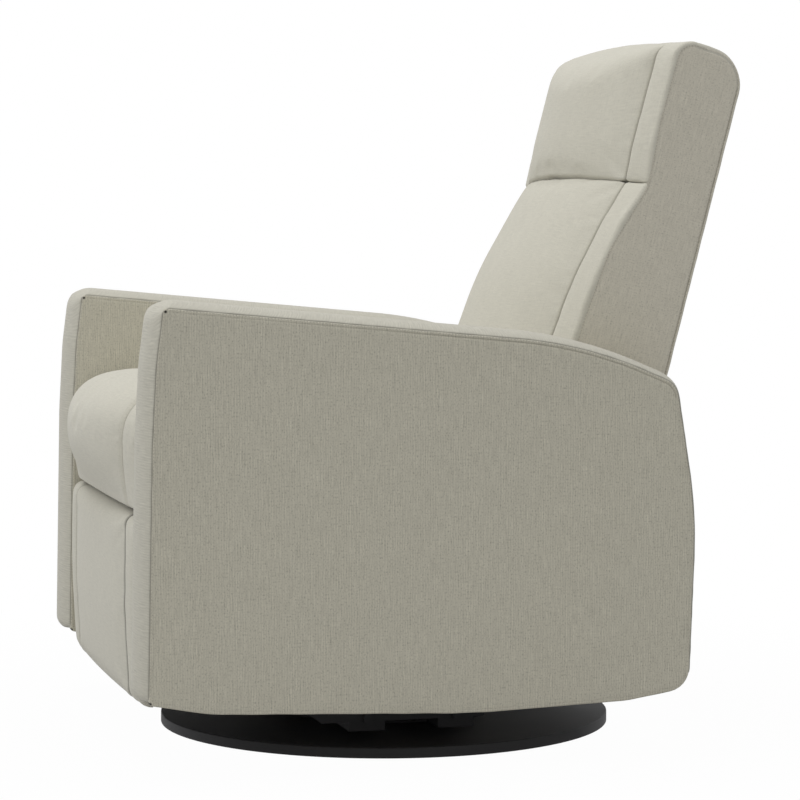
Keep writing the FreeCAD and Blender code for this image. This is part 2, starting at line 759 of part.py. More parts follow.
def arm_shell():
    """Crowned block that the three bands are cut from."""
    x0 = INNER_HALF + ARM_PANEL_T
    x1 = ARM_OUT - ARM_PANEL_T
    bare = len(ARM_OUTLINE) - PADDED_EDGE_COUNT
    wires = []
    for i in range(BAND_STATION_COUNT + 1):
        share = i / BAND_STATION_COUNT
        rise = BAND_CROWN * dome(2 * share - 1)
        outline = offset_outline(ARM_OUTLINE, [rise] * PADDED_EDGE_COUNT + [0.0] * bare)
        wires.append(loop_wire(outline, x0 + (x1 - x0) * share))
    block = Part.makeLoft(wires, True, True)
    return block.cut(slab(arm_outline(BAND_T), x0, x1)).cut(below_bands())


def below_bands():
    low, far = BAND_FOOT_Z, 2 * ARM_OUTLINE[0][0]
    return box((INNER_HALF, ARM_OUT), (far, -far), (0, low))


def arm_bands():
    """Front, top and rear bands, mitred where they meet."""
    shell = arm_shell()
    inner = arm_outline(BAND_T)
    middle = (0, 2 * inner[0][1])
    cuts = []
    for i, way in ((1, -1), (3, 1)):
        head = inner[i][:2]
        out = (head[0] + MITRE[0] * way, head[1] + MITRE[1])
        far = -2 * way * ARM_OUTLINE[0][0]
        corners = [head, out, (far, out[1]), (far, 0), (0, 0), middle]
        cuts.append(slab([(*p, 0) for p in corners], INNER_HALF, ARM_OUT))
    front, rear = cuts
    return shell.common(front), shell.cut(front).cut(rear), shell.common(rear)


def soften(panel, x):
    """Rounds the rim of a panel's face at x."""
    rim = []
    for edge in panel.Edges:
        reach = edge.BoundBox
        if abs(reach.XMin - x) < 0.01 and abs(reach.XMax - x) < 0.01:
            rim.append(edge)
    return panel.makeFillet(PANEL_EDGE_R, rim)


def arm_side(x0, x1, soft_x):
    return soften(slab(ARM_OUTLINE, x0, x1), soft_x)


def arm_front_post():
    inner = arm_outline(BAND_T)
    low, high = inner[0], inner[1]
    foot_z = ARM_RAIL_Z + ARM_RAIL_H
    head_z = high[1] - ARM_RAIL_H - ARM_POST_DROP
    y_low = step(low, high, (foot_z - low[1]) / (high[1] - low[1]))[0]
    y_high = step(low, high, (head_z - low[1]) / (high[1] - low[1]))[0]
    outline = [
        (y_low, foot_z, 0),
        (y_high, head_z, 0),
        (y_high + POST_W, head_z, 0),
        (y_low + POST_W, foot_z, 0),
    ]
    return slab(outline, INNER_HALF + ARM_PANEL_T, ARM_OUT - ARM_PANEL_T)


def arm_rear_post():
    inner = arm_outline(BAND_T)
    foot_z = ARM_RAIL_Z + ARM_RAIL_H
    head, knee = inner[3], inner[4]
    head_z = head[1] - ARM_RAIL_H - ARM_POST_DROP
    y_head = step(head, knee, (head_z - head[1]) / (knee[1] - head[1]))[0] - ARM_POST_INSET
    outline = [
        (y_head - POST_W, foot_z, 0),
        (y_head - POST_W, head_z, 0),
        (y_head, head_z, 0),
        (knee[0] - ARM_POST_INSET, knee[1], 0),
        (inner[5][0] - ARM_POST_INSET, foot_z, 0),
    ]
    return slab(outline, INNER_HALF + ARM_PANEL_T, ARM_OUT - ARM_PANEL_T)


def arm_top_rail():
    inner = arm_outline(BAND_T)
    front, bend, rear = inner[1], inner[2], inner[3]
    deep = ARM_RAIL_H + ARM_RAIL_DROP
    along, down = ARM_RAIL_INSET
    outline = [
        (front[0] + along, front[1] - deep, 0),
        (front[0] + along, front[1] - down, 0),
        (bend[0], bend[1] - ARM_RAIL_BEND, 0),
        (rear[0] - ARM_RAIL_REAR_INSET, rear[1] - down, 0),
        (rear[0] - ARM_RAIL_REAR_INSET, rear[1] - deep, 0),
        (bend[0], bend[1] - deep, 0),
    ]
    return slab(outline, INNER_HALF + ARM_PANEL_T, ARM_OUT - ARM_PANEL_T)


def arm_bottom_rail():
    y0 = ARM_OUTLINE[0][0] + BAND_T + ARM_POST_INSET
    y1 = ARM_OUTLINE[5][0] - BAND_T - ARM_POST_INSET
    x = (INNER_HALF + ARM_PANEL_T, ARM_OUT - ARM_PANEL_T)
    return box(x, (y0, y1), (ARM_RAIL_Z, ARM_RAIL_Z + ARM_RAIL_H))


def arm_parts():
    front, top, rear = arm_bands()
    return {
        "outer_panel": arm_side(ARM_OUT - ARM_PANEL_T, ARM_OUT, ARM_OUT),
        "inner_panel": arm_side(INNER_HALF, INNER_HALF + ARM_PANEL_T, INNER_HALF),
        "front_band": front,
        "top_band": top,
        "rear_band": rear,
        "front_post": arm_front_post(),
        "rear_post": arm_rear_post(),
        "top_rail": arm_top_rail(),
        "bottom_rail": arm_bottom_rail(),
    }


# Reclining back


def back_box(u, v, x):
    """Straight block in the back's own tilted plane."""
    corners = [(u[0], v[0], 0), (u[1], v[0], 0), (u[1], v[1], 0), (u[0], v[1], 0)]
    return slab(on_back(corners), x[0], x[1])


def back_post():
    return back_box(POST_U, POST_V, (POST_X0, POST_X1))


def back_cross_rails():
    rails = []
    for u in CROSS_RAIL_U:
        rails.append(back_box((u, u + CROSS_RAIL_H), POST_V, (-POST_X0, POST_X0)))
    return Part.makeCompound(rails)


def back_springs():
    springs = []
    low, high = CROSS_RAIL_U[0] + CROSS_RAIL_H / 2, CROSS_RAIL_U[1] + CROSS_RAIL_H / 2
    start = yz(back_point(low, POST_V[1] + WIRE_R))
    run = yz(back_point(high, POST_V[1] + WIRE_R)) - start
    for x in spread(BACK_SPRING_COUNT, POST_X0 - BACK_SPRING_EDGE):
        springs.append(sinuous(start + FreeCAD.Vector(x, 0, 0), run))
    return Part.makeCompound(springs)


def back_side_panel():
    return soften(slab(on_back(SIDE_OUTLINE), POST_X1, BACK_HALF), BACK_HALF)


def swollen(corner, swell, shares=(0.0, 1.0, 0.0)):
    """Corner (u, v, radius) of a pad, changed by its shares of the swell; only v follows a drop."""
    rise = max(0.0, swell)
    u, v, r = (value + share * rise for value, share in zip(corner, shares))
    return (u, v + shares[1] * (swell - rise), r)


def headrest_outline(swell):
    hem = OUTER_BACK_U[1] + SOFT_GAP
    above = POST_U[1] + SOFT_GAP
    behind = POST_V[0] - SOFT_GAP
    low = (HEAD_BOTTOM_U + PAD_SPLIT, *HEAD_LOW)
    return on_back(
        [
            (HEAD_BOTTOM_U + PAD_LIFT, PAD_BACK_V, PAD_REAR_R[0]),
            swollen(low, swell, (0.0, HEAD_LOW_SHARE, 0.0)),
            swollen(HEAD_MIDDLE, swell),
            swollen(HEAD_HIGH, swell, HEAD_HIGH_SHARES),
            swollen(HEAD_TOP, swell, HEAD_TOP_SHARES),
            HEAD_REAR,
            (hem, 0, 0),
            (hem, behind, 0),
            (above, behind, 0),
            (above, PAD_BACK_V, 0),
        ]
    )


def lumbar_outline(swell):
    top = HEAD_BOTTOM_U - PAD_SPLIT
    return on_back(
        [
            (LUMBAR_BOTTOM_U, PAD_BACK_V, PAD_REAR_R[1]),
            swollen((LUMBAR_BOTTOM_U, *LUMBAR_LOW), swell),
            swollen(LUMBAR_MIDDLE, swell),
            swollen(LUMBAR_HIGH, swell, (0.0, LUMBAR_HIGH_SHARE, 0.0)),
            swollen((top, *LUMBAR_EDGE), swell, (0.0, LUMBAR_EDGE_SHARE, 0.0)),
            (top, PAD_BACK_V, PAD_REAR_R[0]),
        ]
    )


def pad(outline):
    """Pillow whose swell is fullest in the middle and dies out past the seams."""
    half = POST_X1 - SOFT_GAP

    def outline_at(x):
        return outline(PAD_SWELL * dome(x / SEAM_X) - PAD_SIDE_DROP * past_seam(x, half))

    return loft(outline_at, half)


def back_outer_panel():
    half = POST_X1 - SOFT_GAP
    return back_box(OUTER_BACK_U, (0, OUTER_BACK_T), (-half, half))


def recline_bracket():
    x0, x1 = LAYER_1, LAYER_1 + LAYER_T
    rear = back_point(POST_U[0] + BRACKET_W / 2, sum(POST_V) / 2)
    upper = back_point(POST_U[0] + BRACKET_W / 2 + BRACKET_SPINE, sum(POST_V) / 2)
    arm = bar(RECLINE_PIVOT, rear, BRACKET_W, x0, x1)
    spine = bar(rear, upper, BRACKET_W, x0, x1)
    crank = bar(RECLINE_PIVOT, ROD_END, CRANK_W, x0, x1)
    bracket = arm.fuse([spine, crank]).removeSplitter()
    bracket = bracket.cut(rod_x(RECLINE_PIVOT, STUD_R + PIN_GAP, x0, x1))
    return bracket.fuse(rod_x(ROD_END, PIN_R, LAYER_3, x0)).removeSplitter()


# Footrest mechanism


def drive_tube():
    tube_x = LAYER_1 - SOFT_GAP
    return rod_x(DRIVE_PIVOT, DRIVE_TUBE_R, -tube_x, tube_x).cut(
        rod_x(DRIVE_PIVOT, DRIVE_TUBE_R - DRIVE_TUBE_WALL, -tube_x, tube_x)
    )


def drive_link():
    x0, x1 = LAYER_1, LAYER_1 + LAYER_T
    link = bar(DRIVE_PIVOT, DRIVE_END, LINK_W, x0, x1)
    link = link.fuse(bar(DRIVE_PIVOT, ROD_START, DRIVE_HUB_W, x0, x1)).removeSplitter()
    link = link.cut(rod_x(DRIVE_PIVOT, STUD_R + PIN_GAP, x0, x1))
    pins = [rod_x(p, PIN_R, LAYER_2, x0) for p in (DRIVE_END, PUSH_START)]
    pins.append(rod_x(ROD_START, PIN_R, LAYER_3, x0))
    return link.fuse(pins).removeSplitter()


def guide_link():
    x0, x1 = LAYER_1, LAYER_1 + LAYER_T
    link = bar(GUIDE_PIVOT, GUIDE_END, LINK_W, x0, x1)
    link = link.cut(rod_x(GUIDE_PIVOT, STUD_R + PIN_GAP, x0, x1))
    return link.cut(rod_x(GUIDE_END, PIN_R + OPEN_PIVOT_GAP, x0, x1))


def coupler_link():
    x0, x1 = LAYER_2, LAYER_2 + LAYER_T
    link = bar(DRIVE_END, FOOT_PIVOT, SLIM_LINK_W, x0, x1)
    link = link.cut([rod_x(p, PIN_R + PIN_GAP, x0, x1) for p in (DRIVE_END, FOOT_PIVOT)])
    return link.fuse(rod_x(GUIDE_END, PIN_R, x1, LAYER_1 + LAYER_T)).removeSplitter()


def push_link():
    x0, x1 = LAYER_2, LAYER_2 + LAYER_T
    link = bar(PUSH_START, PUSH_END, SLIM_LINK_W, x0, x1)
    link = link.cut(rod_x(PUSH_START, PIN_R + PIN_GAP, x0, x1))
    return link.cut(rod_x(PUSH_END, PIN_R + OPEN_PIVOT_GAP, x0, x1))


def push_rod():
    """Rod from the back's crank to the drive link, slotted at the crank."""
    x0, x1 = LAYER_3, LAYER_3 + LAYER_T
    rod = bar(ROD_START, ROD_END, SLIM_LINK_W, x0, x1)
    eye = rod_x(ROD_END, PIN_R + ROD_SLOT_UP + ROD_EYE_RIM, x0, x1)
    rod = rod.fuse(eye).removeSplitter()
    rod = rod.cut(rod_x(ROD_START, PIN_R + PIN_GAP, x0, x1))
    up = (0, ROD_SLOT_UP - OPEN_PIVOT_GAP)
    slot = bar(minus(ROD_END, up), plus(ROD_END, up), 2 * (PIN_R + ROD_SLOT_ALONG), x0, x1)
    return rod.cut(slot)


def footrest_bracket():
    x0, x1 = LAYER_1, LAYER_1 + LAYER_T
    plate = bar(FOOT_PIVOT, PUSH_END, FOOT_BRACKET_W, x0, x1)
    z = (FOOT_PIVOT[1] - LINK_W / 2, PUSH_END[1])
    root = box((x0, x1), (FOOT_BOARD_Y, FOOT_PIVOT[0]), z)
    plate = plate.fuse(root).removeSplitter()
    ahead = box((x0, x1), (2 * FOOT_BOARD_Y, FOOT_BOARD_Y), (0, 2 * FOOT_TOP))
    flange = box((x1, x1 + FOOT_FLANGE), (FOOT_BOARD_Y, FOOT_BOARD_Y + LAYER_T), z)
    pins = [rod_x(p, PIN_R, LAYER_2, x0) for p in (FOOT_PIVOT, PUSH_END)]
    return plate.cut(ahead).fuse([flange] + pins).removeSplitter()


def footrest_board():
    half = FOOT_HALF - FOOT_BOARD_EDGE
    y = (FOOT_BOARD_Y - FOOT_BOARD_T, FOOT_BOARD_Y)
    return box((-half, half), y, (FOOT_BOTTOM + FOOT_BOARD_EDGE, FOOT_TOP - FOOT_BOARD_HEAD))


def footrest_outline(x):
    """Side outline of the footrest pad, its front drawn in a little to the sides."""
    inner = FOOT_CROWN * (x / FOOT_HALF) ** 2
    front = FOOT_FRONT + inner + FOOT_SIDE_CURVE * past_seam(x, FOOT_HALF) ** 1.6
    rear = FOOT_BOARD_Y - FOOT_BOARD_T - SOFT_GAP
    return [
        (rear, FOOT_BOTTOM, FOOT_REAR_R),
        (front + FOOT_HEEL[0], FOOT_BOTTOM + FOOT_HEEL[1], FOOT_EDGE_R),
        (front, FOOT_BREAK_Z, FOOT_BREAK_R),
        (front + FOOT_HEAD_IN, FOOT_TOP, FOOT_EDGE_R),
        (rear, FOOT_TOP - FOOT_REAR_DROP, FOOT_REAR_R),
    ]


def footrest_pad():
    return loft(footrest_outline, FOOT_HALF)


def build():
    parts = {
        "base_disc": base_disc(),
        "base_core": base_core(),
        "floor_ring": floor_ring(),
        "lower_race": race(RACE_LOW_Z),
        "ball_ring": ball_ring(),
        "king_bolt": king_bolt(),
        "upper_race": race(RACE_HIGH_Z),
        "cross_beams": cross_beams(),
        "side_rail_left": side_rail(),
        "side_rail_right": mirrored(side_rail()),
        "rocker_shaft": rocker_shaft(),
        "rail_bolts": rail_bolts(),
        "rocker_springs": rocker_springs(),
        "mechanism_plate_left": mechanism_plate(),
        "mechanism_plate_right": mirrored(mechanism_plate()),
        "shaft_bushes": shaft_bushes(),
        "seat_rail_front": seat_rail_front(),
        "seat_rail_rear": seat_rail_rear(),
        "seat_rail_left": seat_rail_left(),
        "seat_rail_right": mirrored(seat_rail_left()),
        "seat_springs": seat_springs(),
        "seat_cushion": seat_cushion(),
        "rear_panel": rear_panel(),
        "back_post_left": back_post(),
        "back_post_right": mirrored(back_post()),
        "back_cross_rails": back_cross_rails(),
        "back_springs": back_springs(),
        "back_side_panel_left": back_side_panel(),
        "back_side_panel_right": mirrored(back_side_panel()),
        "headrest_pad": pad(headrest_outline),
        "lumbar_pad": pad(lumbar_outline),
        "back_outer_panel": back_outer_panel(),
        "recline_brackets": pair(recline_bracket()),
        "drive_tube": drive_tube(),
        "drive_links": pair(drive_link()),
        "guide_links": pair(guide_link()),
        "coupler_links": pair(coupler_link()),
        "push_links": pair(push_link()),
        "push_rods": pair(push_rod()),
        "footrest_brackets": pair(footrest_bracket()),
        "footrest_board": footrest_board(),
        "footrest_pad": footrest_pad(),
    }
    for name, shape in arm_parts().items():
        parts["arm_left_" + name] = shape
        parts["arm_right_" + name] = mirrored(shape)
    return parts


os.makedirs("parts", exist_ok=True)
for name, shape in build().items():
    print(name, len(shape.Solids), shape.isValid(), round(shape.Volume))
    shape.exportStep("parts/" + name + ".step")
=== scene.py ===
import math

import bmesh
import bpy
import numpy as np
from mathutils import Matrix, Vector


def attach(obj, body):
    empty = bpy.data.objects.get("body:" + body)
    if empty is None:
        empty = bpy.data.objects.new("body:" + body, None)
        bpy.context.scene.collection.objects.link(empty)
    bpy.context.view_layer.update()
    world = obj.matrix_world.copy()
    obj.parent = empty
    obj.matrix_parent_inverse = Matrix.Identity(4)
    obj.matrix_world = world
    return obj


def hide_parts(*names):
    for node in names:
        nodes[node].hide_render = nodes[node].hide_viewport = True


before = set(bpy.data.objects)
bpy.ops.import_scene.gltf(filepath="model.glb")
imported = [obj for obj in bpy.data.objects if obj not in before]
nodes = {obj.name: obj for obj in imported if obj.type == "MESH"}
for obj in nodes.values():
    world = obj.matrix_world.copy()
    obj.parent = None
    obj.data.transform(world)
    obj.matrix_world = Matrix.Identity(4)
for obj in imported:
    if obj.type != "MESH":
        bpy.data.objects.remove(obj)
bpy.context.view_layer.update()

# Swivel rocking armchair, dressed in linen. Lengths are millimetres until a mesh is made.
# Z is up, the chair faces -Y, the sitter's left is +X, as in the frame.
TO_METRES = 0.001

# Half widths: between the arms, over the arms, over the back, and at the pads' sewn seams
INNER_HALF = 283.0
ARM_OUT = 400.0
BACK_HALF = 277.0
SEAM_X = 217.0

# Room between the cushion and the arms on each side
SOFT_GAP = 0.3

# Side-view place of the back's rear lower corner, and how far the back leans
BACK_FOOT = (327.0, 501.0)
BACK_TILT = math.radians(14.8)


# Outlines


def arc_steps(corners, cell):
    """How many points each corner and each run between corners gets."""
    arcs, runs = [], []
    count = len(corners)
    for i, (a, b, r) in enumerate(corners):
        before = np.array(corners[i - 1][:2])
        here = np.array((a, b))
        after = np.array(corners[(i + 1) % count][:2])
        turn = turn_of(before, here, after)
        arcs.append(int(max(3, math.ceil(r * turn / cell))) if r else 0)
        runs.append(int(max(1, math.ceil(np.linalg.norm(after - here) / cell))))
    return arcs, runs


def turn_of(before, here, after):
    p = (here - before) / np.linalg.norm(here - before)
    q = (after - here) / np.linalg.norm(after - here)
    return math.acos(max(-1.0, min(1.0, float(p @ q))))


def outline_points(corners, steps):
    """Points round a closed outline of (a, b, radius) corners, as many for the same steps."""
    arcs, runs = steps
    count = len(corners)
    ends = []
    curves = []
    for i, (a, b, r) in enumerate(corners):
        before = np.array(corners[i - 1][:2])
        here = np.array((a, b), float)
        after = np.array(corners[(i + 1) % count][:2])
        turn = turn_of(before, here, after)
        if not arcs[i] or turn < 1e-6:
            curves.append(np.array([here] * (arcs[i] + 1)))
            ends.append((here, here))
            continue
        reach = r * math.tan(turn / 2)
        start = here + (before - here) / np.linalg.norm(before - here) * reach
        end = here + (after - here) / np.linalg.norm(after - here) * reach
        t = np.linspace(0, 1, arcs[i] + 1)[:, None]
        w = math.cos(turn / 2)
        rational = (1 - t) ** 2 * start + 2 * w * t * (1 - t) * here + t**2 * end
        curves.append(rational / ((1 - t) ** 2 + 2 * w * t * (1 - t) + t**2))
        ends.append((start, end))
    points = []
    for i in range(count):
        points.extend(curves[i])
        start, end = ends[i][1], ends[(i + 1) % count][0]
        for k in range(1, runs[i]):
            points.append(start + (end - start) * k / runs[i])
    return np.array(points)


def area_sign(points):
    x, y = points[:, 0], points[:, 1]
    return 1.0 if np.sum(x * np.roll(y, -1) - np.roll(x, -1) * y) > 0 else -1.0


def outward(points):
    """Unit normals in the outline's plane, pointing away from its inside."""
    along = np.roll(points, -1, 0) - np.roll(points, 1, 0)
    normal = np.stack([along[:, 1], -along[:, 0]], 1)
    normal /= np.maximum(np.linalg.norm(normal, axis=1), 1e-9)[:, None]
    return normal * area_sign(points)


def moved_corners(corners, out):
    """Corners of the outline with every edge moved outwards, or inwards where out is negative."""
    places = np.array([corner[:2] for corner in corners], float)
    along = np.roll(places, -1, 0) - places
    along /= np.linalg.norm(along, axis=1)[:, None]
    way = area_sign(places)
    normal = np.stack([along[:, 1], -along[:, 0]], 1) * way
    result = []
    for i, (a, b, r) in enumerate(corners):
        before, after = normal[i - 1], normal[i]
        shift = (before + after) * out / (1 + float(before @ after))
        turn = along[i - 1][0] * along[i][1] - along[i - 1][1] * along[i][0]
        grown = r + out if turn * way > 0 else r - out
        result.append((a + shift[0], b + shift[1], max(1.0, grown) if r else 0.0))
    return result


def lengths(points, closed=True):
    """Distance along the points from the first, with the closing run at the end."""
    loop = np.vstack([points, points[:1]]) if closed else points
    return np.concatenate([[0], np.cumsum(np.linalg.norm(np.diff(loop, axis=0), axis=1))])


def ripple(s, seed, size):
    """Smooth uneven wave between about -1 and 1, the same on each run."""
    rng = np.random.default_rng(seed)
    wave = np.zeros_like(s, float)
    for _ in range(5):
        wave += np.sin(s * 2 * math.pi / (size * rng.uniform(0.6, 1.8)) + rng.uniform(0, 6.28))
    return wave / 3


def on_back(u, v):
    """Side-view place of a point given along the back and forward from its rear face."""
    y = BACK_FOOT[0] + u * math.sin(BACK_TILT) - v * math.cos(BACK_TILT)
    z = BACK_FOOT[1] + u * math.cos(BACK_TILT) + v * math.sin(BACK_TILT)
    return y, z


def back_corners(corners):
    return [(*on_back(u, v), r) for u, v, r in corners]


def dome(share):
    """Height of a soft crown, 1 in the middle and 0 at the seams."""
    return max(0.0, 1 - share * share) ** 0.85


def past_seam(x, half):
    """0 up to the seam and 1 at the pad's end."""
    return max(0.0, (abs(x) - SEAM_X) / (half - SEAM_X))


def from_seam(x):
    """Distance across from the nearer seam."""
    return abs(abs(x) - SEAM_X)


# Meshes


def make_object(name, points, faces, uvs, shade, material):
    """Mesh object in metres with a weave map and a seam shade, made of four-cornered faces."""
    mesh = bpy.data.meshes.new(name)
    mesh.from_pydata((np.asarray(points) * TO_METRES).tolist(), [], faces.tolist())
    layer = mesh.uv_layers.new(name="weave")
    layer.data.foreach_set("uv", (np.asarray(uvs, float) * TO_METRES).ravel())
    marks = mesh.attributes.new("seam_shade", "FLOAT", "POINT")
    marks.data.foreach_set("value", np.asarray(shade, float).ravel())
    mesh.shade_smooth()
    mesh.materials.append(material)
    piece = bpy.data.objects.new(name, mesh)
    bpy.context.scene.collection.objects.link(piece)
    return piece


def ring_faces(count, size):
    """Corner numbers of the faces between each ring and the next."""
    m, n = np.meshgrid(np.arange(count - 1), np.arange(size), indexing="ij")
    k = (n + 1) % size
    faces = np.stack([m * size + n, (m + 1) * size + n, (m + 1) * size + k, m * size + k], -1)
    return faces.reshape(-1, 4)


def ring_mesh(name, rings, across, along, shade, material):
    """Open tube through rings of equally many points."""
    count, size = len(rings), len(rings[0])
    m, n = np.meshgrid(np.arange(count - 1), np.arange(size), indexing="ij")
    across, along = np.asarray(across), np.asarray(along)
    corners = ((0, 0), (1, 0), (1, 1), (0, 1))
    uvs = [np.stack([across[m + i], along[n + j]], -1) for i, j in corners]
    uvs = np.stack(uvs, 2).reshape(-1, 2)
    return make_object(name, np.concatenate(rings), ring_faces(count, size), uvs, shade, material)


def close_ends(piece, cap_uv=None):
    """Fills both open ends and turns the faces outwards."""
    built = bmesh.new()
    built.from_mesh(piece.data)
    layer = built.loops.layers.uv["weave"]
    rim = [edge for edge in built.edges if edge.is_boundary]
    known = {}
    for edge in rim:
        for loop in edge.link_loops[0].face.loops:
            known[loop.vert] = tuple(loop[layer].uv)
    made = bmesh.ops.holes_fill(built, edges=rim, sides=0)["faces"]
    for face in made:
        for loop in face.loops:
            loop[layer].uv = cap_uv(loop.vert.co) if cap_uv else known[loop.vert]
    bmesh.ops.recalc_face_normals(built, faces=built.faces)
    built.to_mesh(piece.data)
    built.free()


def side_uv(place):
    return place[1], place[2]


# Padded tubes: length of a mesh cell, and rows in the rolled rim at each end
CELL = 9.0
ROLL_STEPS = 5

# (distance across from the seam, depth) of the groove that a sewn seam pulls in
SEAM_PROFILE = [
    (-9.0, 0.5),
    (-4.6, 1.4),
    (-2.2, 2.5),
    (-1.0, 3.8),
    (0.0, 7.5),
    (1.0, 3.8),
    (2.2, 2.5),
    (4.6, 1.4),
    (9.0, 0.5),
]
SEAM_SHADE_REACH = 1.6

# Depth of the small folds beside a seam, and how far across they and the slack reach
PUCKER = 0.45
PUCKER_REACH = 9.0
SLACK_REACH = 30.0


def stations(half, roll, spread):
    """(x, inset) across a pad: even cells, tight rows at the seams, a rolled rim at both ends."""
    sewn = [-SEAM_X, SEAM_X]
    marks = sorted([roll - half, half - roll, *sewn])
    rows = []
    for a, b in zip(marks, marks[1:]):
        steps = max(2, round((b - a) / CELL))
        rows += [(a + (b - a) * i / steps, 0.0) for i in range(steps + 1)]
    rows = [row for row in rows if from_seam(row[0]) > 0.8 * CELL * spread]
    rows += [(s + shift * spread, sink) for s in sewn for shift, sink in SEAM_PROFILE]
    for i in range(1, ROLL_STEPS + 1):
        angle = math.pi / 2 * i / ROLL_STEPS
        x, inset = half - roll * (1 - math.sin(angle)), roll * (1 - math.cos(angle))
        rows += [(x, inset), (-x, inset)]
    return sorted(set(rows))


def upholstered(name, corners_at, half, roll, slack, seed, spread=1.0):
    """Padded linen tube across the chair, through side outlines, with seams that run round it."""
    steps = arc_steps(corners_at(0.0), CELL)
    rings, across, shade = [], [], []
    for x, inset in stations(half, roll, spread):
        near = min(from_seam(x), half - abs(x))
        free = slack * min(1.0, near / SLACK_REACH)
        points = outline_points(moved_corners(corners_at(x), -inset - free), steps)
        s = lengths(points)[:-1]
        pucker = PUCKER * math.exp(-near / PUCKER_REACH) * ripple(s, seed + (x > 0), 34.0)
        points = points - outward(points) * pucker[:, None]
        rings.append(np.column_stack([np.full(len(points), x), points]))
        across.append(x)
        shade.append(np.full(len(points), seam_shade(x, spread)))
    along = lengths(outline_points(corners_at(0.0), steps))
    return ring_mesh(name, rings, across, along, shade, FABRIC)


def seam_shade(x, spread):
    """Painted shade beside a seam: how much the cloth's colour is darkened there; a wide seam gets
    darker painted shade on the chair's left.
    """
    reach = SEAM_SHADE_REACH * spread**2
    dark = spread**0.6 * min(1.0, max(0.0, (reach - from_seam(x)) * spread / reach))
    return 0.25 * dark if spread > 1 and x < 0 else dark


def read_points(piece):
    co = np.zeros(len(piece.data.vertices) * 3, np.float32)
    piece.data.vertices.foreach_get("co", co)
    return co.reshape(-1, 3).astype(float)


def write_points(piece, co):
    piece.data.vertices.foreach_set("co", co.astype(np.float32).ravel())
    piece.data.update()


def beside_seams(co):
    """Marks the points that the sewn seams hold."""
    return np.abs(np.abs(co[:, 0]) - SEAM_X) < 3.0


SOLVER_FRAMES = 20


def puff(piece, held, pressure, cap):
    """Inflates a cover with the cloth solver, by up to the cap, where it isn't held."""
    start = read_points(piece)
    group = piece.vertex_groups.new(name="held")
    group.add([int(i) for i in np.nonzero(held)[0]], 1.0, "REPLACE")
    cloth = piece.modifiers.new("cloth", "CLOTH")
    settings = cloth.settings
    settings.quality = 5
    settings.mass = 0.3
    settings.tension_stiffness = 15
    settings.compression_stiffness = 15
    settings.bending_stiffness = 0.5
    settings.use_pressure = True
    settings.uniform_pressure_force = pressure
    settings.vertex_group_mass = "held"
    settings.pin_stiffness = 1.0
    settings.effector_weights.gravity = 0.0
    cloth.collision_settings.use_collision = False
    cloth.point_cache.frame_start = 1
    cloth.point_cache.frame_end = SOLVER_FRAMES
    scene = bpy.context.scene
    for number in range(1, SOLVER_FRAMES + 1):
        scene.frame_set(number)
    shown = piece.evaluated_get(bpy.context.evaluated_depsgraph_get())
    moved = np.zeros(len(start) * 3, np.float32)
    shown.data.vertices.foreach_get("co", moved)
    moved = moved.reshape(-1, 3).astype(float)
    piece.modifiers.remove(cloth)
    piece.vertex_groups.clear()
    scene.frame_set(1)
    shift = moved - start
    size = np.linalg.norm(shift, axis=1)
    limit = cap * TO_METRES
    share = limit * np.tanh(size / limit) / np.maximum(size, 1e-9)
    write_points(piece, start + shift * share[:, None])


def refine(piece):
    """Applies a subdivision surface of one level."""
    modifier = piece.modifiers.new("smooth", "SUBSURF")
    modifier.levels = 1
    modifier.render_levels = 1
    modifier.boundary_smooth = "PRESERVE_CORNERS"
    shown = piece.evaluated_get(bpy.context.evaluated_depsgraph_get())
    made = bpy.data.meshes.new_from_object(shown)
    piece.modifiers.clear()
    old = piece.data
    made.name = old.name
    piece.data = made
    bpy.data.meshes.remove(old)


def mirrored(piece, name):
    """Copy on the chair's other side."""
    mesh = piece.data.copy()
    mesh.name = name
    twin = bpy.data.objects.new(name, mesh)
    bpy.context.scene.collection.objects.link(twin)
    co = read_points(twin)
    co[:, 0] *= -1
    write_points(twin, co)
    built = bmesh.new()
    built.from_mesh(mesh)
    bmesh.ops.reverse_faces(built, faces=built.faces)
    built.to_mesh(mesh)
    built.free()
    return twin


# Padded panels: a flat board under cloth, with a rolled rim

# Rings across the face, its thickness, and lengths of a mesh cell on small and large panels
FACE_RINGS = 12
PANEL_T = 12.0
PANEL_CELL = 7.0
COARSE_CELL = 12.0

# How far inside the edge a topstitched line runs, and how wide it sinks in
DIP_INSET = 4.4
DIP_WIDTH = 0.9

# (inset from the edge, depth below the face) of a plain rolled rim, then of a topstitched one
RIM = [
    (0.0, PANEL_T),
    (0.0, 4.5),
    (0.2, 2.6),
    (0.7, 1.3),
    (1.5, 0.5),
    (2.6, 0.15),
    (5.0, 0.03),
    (12.0, 0.0),
]
RIM_STITCHED = [
    (0.0, PANEL_T),
    (0.0, 4.5),
    (0.2, 2.6),
    (0.6, 1.4),
    (1.3, 0.6),
    (2.2, 0.25),
    (3.2, 0.15),
    (3.8, 0.12),
    (DIP_INSET, 0.1),
    (5.0, 0.1),
    (5.8, 0.08),
    (8.0, 0.03),
    (13.0, 0.0),
]


def plain_edge(edge):
    """(width, strength) of the shade along a panel's edge seam."""
    return np.full(len(edge), 0.8), 0.35


